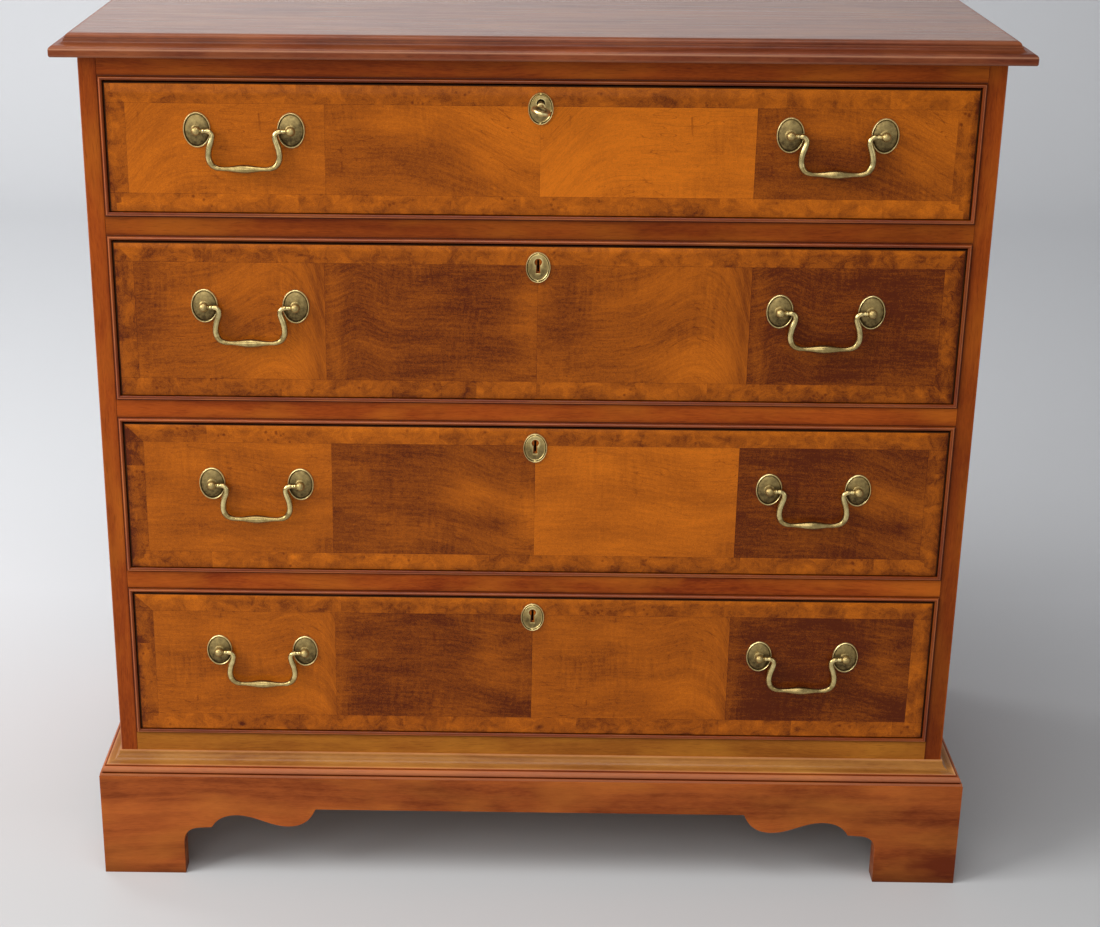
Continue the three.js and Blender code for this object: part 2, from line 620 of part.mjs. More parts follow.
// Post: rosette, collar and ball in front, shank through the drawer front, nut inside
function pullPost() {
  const tail = FRONT_THICKNESS + NUT_THICKNESS + THREAD_SHOWN;
  const profile = [[0, -PIVOT_PROUD - BALL_RADIUS]];
  const collarTurn = Math.PI - Math.asin(SHANK_RADIUS / BALL_RADIUS);
  for (let step = 1; step <= BALL_STEPS; step += 1) {
    const turn = (step / BALL_STEPS) * collarTurn;
    profile.push([BALL_RADIUS * Math.sin(turn), -PIVOT_PROUD - BALL_RADIUS * Math.cos(turn)]);
  }
  profile.push([COLLAR_RADIUS, -ROSETTE_PROUD / 2], [COLLAR_RADIUS, -FIT]);
  profile.push([SHANK_RADIUS, -FIT], [SHANK_RADIUS, tail], [0, tail]);
  const nut = rod(NUT_RADIUS, FRONT_THICKNESS, FRONT_THICKNESS + NUT_THICKNESS, NUT_SIDES);
  const rosette = ovalPlate(rosetteShares, ROSETTE_WIDTH, ROSETTE_HEIGHT, ROSETTE_PROUD, ROSETTE_SIDES);
  const hole = rod(WIRE_RADIUS + WIRE_CLEARANCE, 0, BALL_RADIUS + OVERRUN, TURNED_SIDES)
    .rotate(0, 0, -90)
    .translate(BALL_RADIUS - PIVOT_ENGAGED - FIT, -PIVOT_PROUD, 0);
  return solid(turned(profile, TURNED_SIDES)).add(nut).add(rosette).subtract(hole);
}

// Swan-neck bail: half of its line from the pivot to the middle of the grip,
// as shares of half the distance between the posts and of the drop
const bailShares = [
  [0.82, 0], [0.72, -0.015], [0.67, -0.09], [0.672, -0.2], [0.72, -0.38], [0.755, -0.58],
  [0.745, -0.76], [0.67, -0.92], [0.53, -0.99], [0.35, -1], [0.15, -1],
];

function bail() {
  const half = PULL_CENTRES / 2;
  const end = half - BALL_RADIUS + PIVOT_ENGAGED;
  const left = bailShares.map(([x, z]) => [-x * half, z * BAIL_DROP]);
  const right = left.map(([x, z]) => [-x, z]).reverse();
  const line = [[-end, 0], [-(end + half * bailShares[0][0]) / 2, 0], ...left];
  const points = [...line, ...right, ...line.slice(0, 2).map(([x, z]) => [-x, z]).reverse()];
  const places = points.map(([x, z]) => new THREE.Vector3(x, 0, z));
  const path = new THREE.CatmullRomCurve3(places, false, 'centripetal');
  const section = new THREE.Shape().absarc(0, 0, WIRE_RADIUS, 0, 2 * Math.PI, false);
  const geometry = new THREE.ExtrudeGeometry(section, {
    extrudePath: path, steps: BAIL_STEPS, curveSegments: TURNED_SIDES / 2, bevelEnabled: false,
  });
  swellBar(geometry, path.getSpacedPoints(BAIL_STEPS));
  return solid(geometry);
}

// The bar swells in the middle of each limb, and more in the middle of the grip.
// Shares of half the distance between the posts, and of the drop.
const gripReachShare = 0.62;
const limbTopShare = 0.06;
const limbFootShare = 0.94;

function barRadius(point) {
  const reach = PULL_CENTRES / 2 * gripReachShare;
  const down = -point.z / BAIL_DROP;
  if (Math.abs(point.x) < reach && down > limbFootShare) {
    return WIRE_RADIUS + (GRIP_RADIUS - WIRE_RADIUS) * Math.cos(point.x / reach * Math.PI / 2) ** 2;
  }
  const along = (down - limbTopShare) / (limbFootShare - limbTopShare);
  if (along < 0 || along > 1) return WIRE_RADIUS;
  return WIRE_RADIUS + (LIMB_RADIUS - WIRE_RADIUS) * Math.sin(along * Math.PI);
}

function swellBar(geometry, centres) {
  const place = geometry.attributes.position;
  const corner = new THREE.Vector3();
  for (let i = 0; i < place.count; i += 1) {
    corner.fromBufferAttribute(place, i);
    let centre = centres[0];
    for (const point of centres) {
      if (point.distanceTo(corner) < centre.distanceTo(corner)) centre = point;
    }
    corner.sub(centre).multiplyScalar(barRadius(centre) / WIRE_RADIUS).add(centre);
    place.setXYZ(i, corner.x, corner.y, corner.z);
  }
}

function escutcheon() {
  const sizes = [ESCUTCHEON_WIDTH, ESCUTCHEON_HEIGHT, ESCUTCHEON_PROUD, ROSETTE_SIDES];
  const plate = ovalPlate(escutcheonShares, ...sizes);
  const hole = alongY(keyholeShape(0), -OVERRUN, OVERRUN).translate(0, 0, ESCUTCHEON_BELOW_KEY);
  return plate.subtract(hole);
}

// Lock: Z is zero at the top of the drawer front
function lockCase(withBolt) {
  const back = FRONT_THICKNESS - LOCK_PLATE;
  const cavityFront = LOCK_FRONT + LOCK_PLATE;
  const overlap = LOCK_PLATE / 2;
  const bodyHalf = LOCK_BODY_WIDTH / 2;
  const plateHalf = LOCK_WIDTH / 2;
  let shape = block(-plateHalf, plateHalf, back, FRONT_THICKNESS, -LOCK_HEIGHT, 0);
  shape = shape.add(block(-plateHalf, plateHalf, LOCK_FRONT, FRONT_THICKNESS, -LOCK_PLATE, 0));
  shape = shape.add(block(-bodyHalf, bodyHalf, LOCK_FRONT, back + overlap, -LOCK_BODY_HEIGHT, -overlap));
  const cavity = rod(BIT_REACH + BIT_CLEARANCE, cavityFront, back, 2 * TURNED_SIDES);
  const hole = alongY(keyholeShape(0), LOCK_FRONT - OVERRUN, cavityFront + overlap);
  shape = shape.subtract(cavity.add(hole).translate(0, 0, -KEY_DROP));
  const pin = rod(DRILL_PIN_RADIUS, LOCK_FRONT - DRILL_PIN_REACH, back + overlap, TURNED_SIDES);
  shape = shape.add(pin.translate(0, 0, -KEY_DROP));
  if (withBolt) return shape.add(lockBolt());
  const slotHalf = BOLT_WIDTH / 2 + FIT;
  const slotBottom = BOLT_ABOVE_KEY - KEY_DROP - FIT;
  const slotBack = BOLT_FRONT + BOLT_THICKNESS + FIT;
  return shape.subtract(block(-slotHalf, slotHalf, BOLT_FRONT - FIT, slotBack, slotBottom, OVERRUN));
}

function lockBolt() {
  const half = BOLT_WIDTH / 2;
  return block(-half, half, BOLT_FRONT, BOLT_FRONT + BOLT_THICKNESS, BOLT_ABOVE_KEY - KEY_DROP, 0);
}

// Key: a bored barrel with a collar, a bit inside the lock and a ring for the fingers
function key() {
  const end = FRONT_THICKNESS - LOCK_PLATE - FIT;
  const bowBack = BOW_LENGTH - KEY_REACH;
  const collarFront = bowBack + BOW_METAL / 2;
  const collarBack = collarFront + KEY_COLLAR_LENGTH;
  const profile = [
    [0, bowBack - BOW_METAL / 2],
    [BOW_METAL / 2, bowBack - BOW_METAL / 2],
    [BARREL_RADIUS, collarFront],
    [KEY_COLLAR_RADIUS, collarFront],
    [KEY_COLLAR_RADIUS, collarBack],
    [BARREL_RADIUS, collarBack],
    [BARREL_RADIUS, end],
    [BARREL_BORE_RADIUS, end],
    [BARREL_BORE_RADIUS, end - BARREL_BORE_DEPTH],
    [0, end - BARREL_BORE_DEPTH],
  ];
  const bitFront = LOCK_FRONT + LOCK_PLATE + 2 * FIT;
  const bitHalf = BIT_THICKNESS / 2;
  const bitRoot = (BARREL_RADIUS + BARREL_BORE_RADIUS) / 2;
  const bit = block(bitRoot, BIT_REACH, bitFront, bitFront + BIT_LENGTH, -bitHalf, bitHalf);
  const ring = new THREE.Shape().absellipse(0, 0, BOW_WIDTH / 2, BOW_LENGTH / 2, 0, 2 * Math.PI, false, 0);
  ring.holes.push(new THREE.Path().absellipse(
    0, 0, BOW_WIDTH / 2 - BOW_METAL, BOW_LENGTH / 2 - BOW_METAL, 0, 2 * Math.PI, true, 0,
  ));
  const bow = alongZ(ring, -BOW_THICKNESS / 2, BOW_THICKNESS / 2)
    .translate(0, bowBack - BOW_LENGTH / 2, 0);
  return solid(turned(profile, 2 * CURVE_STEPS)).add(bit).add(bow);
}

// Finishes
const mahogany = { color: 0x6b2f16, roughness: 0.35, metalness: 0 };
const topMahogany = { color: 0x7a3c22, roughness: 0.3, metalness: 0 };
const figuredVeneer = { color: 0xa4551c, roughness: 0.32, metalness: 0 };
const oak = { color: 0xa9835a, roughness: 0.6, metalness: 0 };
const pine = { color: 0x8a6a48, roughness: 0.7, metalness: 0 };
const brass = { color: 0xb39a62, roughness: 0.3, metalness: 1 };
const oldBrass = { color: 0x8d7446, roughness: 0.45, metalness: 1 };

function piece(name, shape, finish) {
  const mesh = shape.getMesh();
  const geometry = new THREE.BufferGeometry();
  geometry.setAttribute('position', new THREE.BufferAttribute(new Float32Array(mesh.vertProperties), 3));
  geometry.setIndex(new THREE.BufferAttribute(new Uint32Array(mesh.triVerts), 1));
  geometry.computeVertexNormals();
  const object = new THREE.Mesh(geometry, new THREE.MeshStandardMaterial(finish));
  object.name = name;
  return object;
}

// Carcass
const chest = new THREE.Group();
const dividerRise = RAIL_SHOWN + 2 * BEAD_WIDTH;
const bottomFrame = {
  name: 'bottom_frame',
  low: CASE_BOTTOM,
  high: drawers[0].floor,
  boardLow: drawers[0].floor - RAIL_SHOWN,
  beadBelow: false,
  beadAbove: true,
};
const dividers = drawers.slice(0, 3).map((drawer) => ({
  name: `divider_${drawer.number - 1}`,
  low: drawer.ceiling,
  high: drawer.ceiling + dividerRise,
  boardLow: drawer.ceiling + (dividerRise - DUSTBOARD_THICKNESS) / 2,
  beadBelow: true,
  beadAbove: true,
}));
const subTop = {
  name: 'sub_top',
  low: TOP_OPENING_CEILING,
  high: CASE_TOP,
  boardLow: CASE_TOP - DUSTBOARD_THICKNESS,
  beadBelow: true,
  beadAbove: false,
};
const frames = [bottomFrame, ...dividers, subTop];
const sideRight = caseSide(frames);
const baseRight = baseSide();
const flip = [-1, 1, 1];

for (const frame of frames) chest.add(piece(frame.name, frameSolid(frame), mahogany));
chest.add(piece('top_board', topBoard(), topMahogany));
chest.add(piece('side_right', sideRight, mahogany));
chest.add(piece('side_left', sideRight.scale(flip), mahogany));
chest.add(piece('back_boards', backBoards(), pine));
chest.add(piece('base_front', baseFront(), mahogany));
chest.add(piece('base_right', baseRight, mahogany));
chest.add(piece('base_left', baseRight.scale(flip), mahogany));
chest.add(piece('base_moulding', baseMoulding(), mahogany));

// Drawers with their brasses
const post = pullPost();
const bailSolid = bail();
const plate = escutcheon();

function pull(drawer, label, side) {
  const group = new THREE.Group();
  group.position.set(side * PULL_FROM_MIDDLE, 0, drawer.pull);
  const prefix = `drawer_${drawer.number}_${label}`;
  for (const end of [-1, 1]) {
    const place = end === side ? 'outer' : 'inner';
    const object = piece(`${prefix}_post_${place}`, post, brass);
    object.position.x = end * PULL_CENTRES / 2;
    object.rotation.y = end === 1 ? Math.PI : 0;
    group.add(object);
  }
  const swing = piece(`${prefix}_bail`, bailSolid, brass);
  swing.position.y = -PIVOT_PROUD;
  group.add(swing);
  return group;
}

for (const drawer of drawers) {
  const prefix = `drawer_${drawer.number}`;
  const hasKey = drawer.number === 1;
  const group = new THREE.Group();
  group.position.z = drawer.floor + GAP_BELOW;
  group.add(piece(`${prefix}_front`, drawerFront(drawer), figuredVeneer));
  group.add(piece(`${prefix}_box`, drawerBox(drawer), oak));
  group.add(piece(`${prefix}_bottom`, drawerBottom(), oak));
  const lock = piece(`${prefix}_lock`, lockCase(!hasKey), oldBrass);
  lock.position.z = drawer.height;
  group.add(lock);
  const cover = piece(`${prefix}_escutcheon`, plate, brass);
  cover.position.z = drawer.height - KEY_DROP - ESCUTCHEON_BELOW_KEY;
  group.add(cover);
  if (hasKey) {
    const bolt = piece(`${prefix}_lock_bolt`, lockBolt(), oldBrass);
    bolt.position.z = drawer.height;
    const turnkey = piece(`${prefix}_key`, key(), brass);
    turnkey.position.z = drawer.height - KEY_DROP;
    turnkey.rotation.y = THREE.MathUtils.degToRad(KEY_TILT);
    group.add(bolt, turnkey);
  }
  group.add(pull(drawer, 'left', -1), pull(drawer, 'right', 1));
  chest.add(group);
}

chest.position.y = (KEY_REACH - CASE_DEPTH - TOP_BACK_OVERHANG) / 2;

export default chest;
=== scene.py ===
import math

import bmesh
import bpy
from mathutils import Matrix, Vector
from mathutils.geometry import interpolate_bezier


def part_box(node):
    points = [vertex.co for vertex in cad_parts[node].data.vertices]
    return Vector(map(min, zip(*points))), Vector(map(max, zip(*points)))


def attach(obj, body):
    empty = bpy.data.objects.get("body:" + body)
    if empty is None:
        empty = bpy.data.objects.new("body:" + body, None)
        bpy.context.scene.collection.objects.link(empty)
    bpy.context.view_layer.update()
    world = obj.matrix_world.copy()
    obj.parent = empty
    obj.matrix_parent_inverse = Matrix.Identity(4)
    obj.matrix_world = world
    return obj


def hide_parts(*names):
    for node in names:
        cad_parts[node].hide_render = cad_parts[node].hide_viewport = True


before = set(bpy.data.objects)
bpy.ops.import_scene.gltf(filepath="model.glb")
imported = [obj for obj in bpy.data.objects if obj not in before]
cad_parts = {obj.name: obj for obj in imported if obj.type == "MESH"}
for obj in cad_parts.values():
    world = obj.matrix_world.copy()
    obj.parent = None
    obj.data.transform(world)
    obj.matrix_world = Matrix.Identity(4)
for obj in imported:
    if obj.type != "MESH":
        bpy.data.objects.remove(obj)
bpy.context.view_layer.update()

# The case sides
# Two wide boards of solid mahogany with the grain upright, french polished outside. The back edge
# has a rebate for the back boards, and the front edge has one for the cock beads.
MAHOGANY_DEEP = (0.145, 0.017, 0.002, 1)
MAHOGANY_PALE = (0.440, 0.087, 0.008, 1)
# The pale colour is a painted highlight over rubbed wear, on arrises and crests
MAHOGANY_RUBBED_HIGHLIGHT = (0.700, 0.340, 0.190, 1)
# Painted shade with glaze next to the cock beads; painted shade on the right stile towards its foot
GLAZE_AND_SHADE_WIDTH = 0.0030
GLAZE_AND_SHADE_SHARE = 0.45
DARKENED_HEIGHT = 0.016
STILE_FOOT_SHADE = {"left": 0.0, "right": -0.65}
BEAD_WIDTH = 0.004
BEAD_DEPTH = 0.012
BACK_REBATE = 0.009
ARRIS = 0.0006
RUBBED_HIGHLIGHT_WIDTH = 0.0016
HAIR = 0.00005
SWAY_SCALE = 2.6
SWAY_REACH = (0.05, 0.05, 0.05)
# Bands, streaks, clouds, hairs and dashes: how many fit in a metre along and across the grain, their
# detail, and the part of the noise that they use
WOOD_FIGURES = (
    (0.9, 26.0, 3.0, 0.36, 0.64), (5.0, 210.0, 3.0, 0.32, 0.68), (9.0, 20.0, 3.0, 0.3, 0.7),
    (120.0, 800.0, 2.0, 0.3, 0.7), (55.0, 1250.0, 1.0, 0.60, 0.70),
)
GRAIN_SHIFT = (7.1, 3.3, 5.7)
BAND_STRENGTH = 0.36
CLOUD_STRENGTH = 0.42
STREAK_STRENGTH = 0.26
HAIR_STRENGTH = 0.24
RIPE_PATCHES = (9.0, 26.0)
RIPE_SPAN = (0.46, 0.72, 0.0, 0.55)
RIPE_TINT = (1.12, 0.10, 1.2)
DARK_SHARE = 0.35
RUBBED_HIGHLIGHT_SPAN = (0.2, 1.0, 0.0, 0.42)
# How dark the painted shade with glaze in corners, and the darkening towards the floor, become
CORNER_SHADE_AND_GLAZE = 0.72
FOOT_DARKENING = 0.55
STREAK_RELIEF = 0.3
GRAIN_STRENGTH = 0.12
GRAIN_DEPTH = 0.0004
BARE_SHINE = 0.06
POLISH_ROUGHNESS = 0.14
ARRIS_ANGLE = math.radians(40)
SHARP_ANGLE = math.radians(32)


def wire(tree, kind, values, **settings):
    """Adds one shader node; a value is a number, a colour or another node's socket."""
    made = tree.nodes.new("ShaderNode" + kind)
    for name, value in settings.items():
        setattr(made, name, value)
    for socket, value in values.items():
        if isinstance(value, bpy.types.NodeSocket):
            tree.links.new(value, made.inputs[socket])
        else:
            made.inputs[socket].default_value = value
    return made


def vector_math(tree, operation, first, second):
    return wire(tree, "VectorMath", {0: first, 1: second}, operation=operation).outputs[0]


def number_math(tree, operation, *values):
    return wire(tree, "Math", dict(enumerate(values)), operation=operation).outputs[0]


def spread(tree, value, low, high, to_low=0.0, to_high=1.0):
    """Maps a grey value from one range to another and clamps it there."""
    values = {"Value": value, "From Min": low, "From Max": high, "To Min": to_low, "To Max": to_high}
    return wire(tree, "MapRange", values).outputs[0]


def dye(tree, share, first, second):
    """Mixes two colours by a share."""
    return wire(tree, "Mix", {0: share, 6: first, 7: second}, data_type="RGBA").outputs[2]


def fibres(tree, place, stretch, detail=2.0, rough=0.55):
    """Noise drawn out along the grain; stretch is how many features fit in a metre each way."""
    point = vector_math(tree, "MULTIPLY", place, stretch)
    values = {"Vector": point, "Scale": 1.0, "Detail": detail, "Roughness": rough}
    return wire(tree, "TexNoise", values).outputs[0]


def swayed(tree, place, scale, detail, reach):
    """Moves each place a little by noise, so that straight figures bend."""
    sway = wire(tree, "TexNoise", {"Vector": place, "Scale": scale, "Detail": detail}).outputs["Color"]
    sway = vector_math(tree, "SUBTRACT", sway, (0.5, 0.5, 0.5))
    return vector_math(tree, "ADD", place, vector_math(tree, "MULTIPLY", sway, reach))


def shifted(tree, tone, value, strength):
    """Adds a grey figure round its middle to the tone."""
    return number_math(tree, "MULTIPLY_ADD", spread(tree, value, 0.0, 1.0, -0.5, 0.5), strength, tone)


def along(axis, run, cross):
    """A stretch that is long along one axis, the grain's, and short across it."""
    return tuple(run if index == axis else cross for index in range(3))


def shaded(colour, share):
    """The same colour, darker or paler by a share."""
    return tuple(channel * share for channel in colour[:3]) + (1,)


def wood_place(tree):
    """Where a point lies in its board; the shift by a chance number gives each piece its own grain."""
    place = wire(tree, "TexCoord", {}).outputs["Object"]
    chance = wire(tree, "ObjectInfo", {}).outputs["Random"]
    shift = wire(tree, "VectorMath", {0: GRAIN_SHIFT, "Scale": chance}, operation="SCALE").outputs[0]
    return vector_math(tree, "ADD", place, shift)


def new_material(name):
    material = bpy.data.materials.new(name)
    material.use_nodes = True
    return material, material.node_tree


def surface(tree, colour, roughness, relief, strength, depth):
    """Leads the colour, the roughness and the relief to the shader."""
    shader = tree.nodes["Principled BSDF"]
    tree.links.new(colour, shader.inputs["Base Color"])
    tree.links.new(roughness, shader.inputs["Roughness"])
    bump = wire(tree, "Bump", {"Height": relief, "Strength": strength, "Distance": depth})
    tree.links.new(bump.outputs[0], shader.inputs["Normal"])
    return shader


def polish_over(shader, coat):
    """A coat of polish over wood that hardly shines by itself."""
    shader.inputs["Specular IOR Level"].default_value = BARE_SHINE
    shader.inputs["Coat Weight"].default_value = coat
    shader.inputs["Coat Roughness"].default_value = POLISH_ROUGHNESS


def timber(name, deep, pale, axis, polish=0.06, rough=(0.30, 0.44), pores=0.30, figure=1.0):
    """Solid wood; painted shade with glaze in its corners, and a painted highlight with wear on its
    arrises.
    """
    material, tree = new_material(name)
    place = swayed(tree, wood_place(tree), SWAY_SCALE, 1.0, SWAY_REACH)
    bands, streaks, clouds, hairs, dashes = [
        spread(tree, fibres(tree, place, along(axis, run, cross), detail), low, high)
        for run, cross, detail, low, high in WOOD_FIGURES
    ]
    tone = shifted(tree, 0.5, bands, BAND_STRENGTH * figure)
    tone = shifted(tree, tone, clouds, CLOUD_STRENGTH * figure)
    tone = shifted(tree, tone, streaks, STREAK_STRENGTH)
    tone = shifted(tree, tone, hairs, HAIR_STRENGTH)
    colour = dye(tree, tone, deep, pale)
    ripe = (pale[0] * RIPE_TINT[0], pale[1] + pale[0] * RIPE_TINT[1], pale[2] * RIPE_TINT[2], 1)
    patches = spread(tree, fibres(tree, place, along(axis, *RIPE_PATCHES), 3.0), *RIPE_SPAN)
    colour = dye(tree, patches, colour, ripe)
    dark = shaded(deep, DARK_SHARE)
    colour = dye(tree, number_math(tree, "MULTIPLY", dashes, pores), colour, dark)
    standing = wire(tree, "Attribute", {}, attribute_name="standing").outputs["Fac"]
    # Painted highlight, over rubbed wear, where the standing is above 0
    colour = dye(tree, spread(tree, standing, *RUBBED_HIGHLIGHT_SPAN), colour, MAHOGANY_RUBBED_HIGHLIGHT)
    height = wire(tree, "SeparateXYZ", {0: wire(tree, "TexCoord", {}).outputs["Object"]}).outputs[2]
    # Painted shade, with glaze, in corners and next to the beads
    corner_shade_and_glaze = spread(tree, standing, -1.0, 0.0, CORNER_SHADE_AND_GLAZE, 0.0)
    # Darker towards the floor
    foot_darkening = spread(tree, height, 0.0, DARKENED_HEIGHT, FOOT_DARKENING, 0.0)
    colour = dye(tree, number_math(tree, "MAXIMUM", corner_shade_and_glaze, foot_darkening), colour, dark)
    roughness = spread(tree, streaks, 0.0, 1.0, rough[1], rough[0])
    relief = number_math(tree, "SUBTRACT", number_math(tree, "MULTIPLY", streaks, STREAK_RELIEF), dashes)
    polish_over(surface(tree, colour, roughness, relief, GRAIN_STRENGTH, GRAIN_DEPTH), polish)
    return material


mahogany = [
    timber(f"mahogany_{letter}", MAHOGANY_DEEP, MAHOGANY_PALE, axis, figure=0.8)
    for axis, letter in enumerate("xyz")
]


def new_object(name, bm, materials):
    mesh = bpy.data.meshes.new(name)
    bm.to_mesh(mesh)
    bm.free()
    for material in materials:
        mesh.materials.append(material)
    mesh.shade_smooth()
    made = bpy.data.objects.new(name, mesh)
    bpy.context.collection.objects.link(made)
    return made


def piece(name, bm, materials, body, node, arris=0.0):
    """Turns a mesh into a piece that rides on a body and stands for a CAD node."""
    bmesh.ops.recalc_face_normals(bm, faces=bm.faces)
    made = new_object(name, bm, materials)
    made.data.set_sharp_from_angle(angle=SHARP_ANGLE)
    if arris:
        bevel = made.modifiers.new("arris", "BEVEL")
        bevel.width = arris
        bevel.segments = 2
        bevel.limit_method = "ANGLE"
        bevel.angle_limit = ARRIS_ANGLE
        bevel.harden_normals = True
    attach(made, body)
    if node:
        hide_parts(node)


def add_skin(bm, rings, around=True, closed=False):
    """Faces from ring to ring; around closes each ring, and closed joins the last ring to the first."""
    count = len(rings[0])
    faces = []
    for first, second in zip(rings, rings[1:] + rings[:1] if closed else rings[1:]):
        for index in range(count if around else count - 1):
            after = (index + 1) % count
            faces.append(bm.faces.new([first[index], second[index], second[after], first[after]]))
    return faces


def add_closed(bm, rings):
    """A skin from the first ring to the last, with a face over each of the two."""
    add_skin(bm, rings)
    bm.faces.new(rings[0])
    bm.faces.new(list(reversed(rings[-1])))


def add_prism(bm, outline, axis, start, end):
    """A closed prism: an outline in the two other axes, run along one axis."""
    others = [index for index in range(3) if index != axis]
    rings = []
    for reach in (start, end):
        ring = []
        for pair in outline:
            corner = [0.0, 0.0, 0.0]
            corner[axis] = reach
            corner[others[0]], corner[others[1]] = pair
            ring.append(bm.verts.new(corner))
        rings.append(ring)
    add_closed(bm, rings)


def set_standing(bm, rule):
    """Sets how far each point stands out: 1 for a painted highlight on a rubbed arris, 0 on a flat, -1
    for painted shade with glaze.
    """
    standing = bm.verts.layers.float.get("standing") or bm.verts.layers.float.new("standing")
    for vert in bm.verts:
        vert[standing] = rule(vert.co)


def add_block(bm, low, high):
    """A block between two opposite corners."""
    outline = [(low[1], low[2]), (high[1], low[2]), (high[1], high[2]), (low[1], high[2])]
    add_prism(bm, outline, 0, low[0], high[0])


side_low, side_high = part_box("side_right")
back_low, back_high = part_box("back_boards")
front_low, front_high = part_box("drawer_1_front")
CASE_FRONT = front_low.y
opening_half = side_low.x

for side, sign in (("left", -1), ("right", 1)):
    plan = [
        (opening_half + BEAD_WIDTH, CASE_FRONT),
        (opening_half + BEAD_WIDTH + GLAZE_AND_SHADE_WIDTH, CASE_FRONT),
        (side_high.x - RUBBED_HIGHLIGHT_WIDTH, CASE_FRONT),
        (side_high.x, CASE_FRONT),
        (side_high.x, CASE_FRONT + RUBBED_HIGHLIGHT_WIDTH),
        (side_high.x, side_high.y),
        (opening_half + BACK_REBATE, side_high.y),
        (opening_half + BACK_REBATE, back_low.y),
        (opening_half, back_low.y),
        (opening_half, CASE_FRONT + BEAD_DEPTH),
        (opening_half + BEAD_WIDTH, CASE_FRONT + BEAD_DEPTH),
    ]

    # A painted highlight over rubbed wear on the outer front arris, painted shade with glaze next to the
    # bead, and painted shade on the right stile, darkest at its foot
    def side_standing(spot):
        near_foot = spot.z < side_low.z + HAIR and spot.y < CASE_FRONT + RUBBED_HIGHLIGHT_WIDTH + HAIR
        foot_shade = STILE_FOOT_SHADE[side] if near_foot else 0.0
        if abs(spot.x) > side_high.x - HAIR and spot.y < CASE_FRONT + HAIR:
            return 1.0 + foot_shade
        from_bead = (abs(spot.x) - opening_half - BEAD_WIDTH) / GLAZE_AND_SHADE_WIDTH
        return foot_shade + GLAZE_AND_SHADE_SHARE * min(0.0, from_bead - 1.0)

    bm = bmesh.new()
    add_prism(bm, [(sign * x, y) for x, y in plan], 2, side_low.z, side_high.z)
    set_standing(bm, side_standing)
    piece(f"case_side_{side}", bm, [mahogany[2]], "carcass", f"side_{side}", ARRIS)

# The back
# Four upright boards of rough pine, set edge to edge in the rebates of the sides. Their edges are
# chamfered, so the joints show as shallow grooves.
PINE_DEEP = (0.150, 0.075, 0.032, 1)
PINE_PALE = (0.300, 0.175, 0.085, 1)
BACK_BOARDS = 4
BOARD_GAP = 0.0004
BOARD_CHAMFER = 0.0014
pine_along, pine_upright = [
    timber(f"pine_{letter}", PINE_DEEP, PINE_PALE, axis, 0.0, (0.62, 0.8), pores=0.15, figure=1.2)
    for axis, letter in ((1, "y"), (2, "z"))
]
board_width = (back_high.x - back_low.x) / BACK_BOARDS
bm = bmesh.new()
for index in range(BACK_BOARDS):
    left = back_low.x + index * board_width
    low = Vector((left + BOARD_GAP, back_low.y, back_low.z))
    high = Vector((left + board_width - BOARD_GAP, back_high.y, back_high.z))
    add_block(bm, low, high)
piece("back_boards_pine", bm, [pine_upright], "carcass", "back_boards", BOARD_CHAMFER)

# The frames between the drawers
# Each is a mahogany rail in front, pine runners at the sides, a pine rail behind and a thin
# dustboard between them. Two small stops behind each drawer front are glued to the rail.
RAIL_DEPTH = 0.060
REAR_RAIL = 0.040
RUNNER_WIDTH = 0.045
RUNNER_RISE = 0.0012
DUSTBOARD = 0.008
STOP_WIDTH = 0.040
STOP_LENGTH = 0.025
STOP_HEIGHT = 0.005
STOP_GAP = 0.0003
STOP_SHARE = 0.3
MORTISE_CLEAR = 0.001
MORTISE_DEPTH = 0.009
BOTTOM_BOARD_DROP = 0.010
GOLDEN_DEEP = (0.200, 0.052, 0.005, 1)
GOLDEN_PALE = (0.480, 0.165, 0.018, 1)
golden = timber("golden_mahogany", GOLDEN_DEEP, GOLDEN_PALE, 0)
RAIL_SHADES = {1: 0.76, 2: 1.10, 3: 1.14}


def add_mortised(bm, low, high, hole_low, hole_high):
    """A block with a mortise cut up into its underside."""
    rings = []
    levels = ((low, high, high[2]), (low, high, low[2]))
    levels += ((hole_low, hole_high, low[2]), (hole_low, hole_high, hole_high[2]))
    for near, far, level in levels:
        plan = ((near[0], near[1]), (far[0], near[1]), (far[0], far[1]), (near[0], far[1]))
        rings.append([bm.verts.new((x, y, level)) for x, y in plan])
    add_closed(bm, rings)


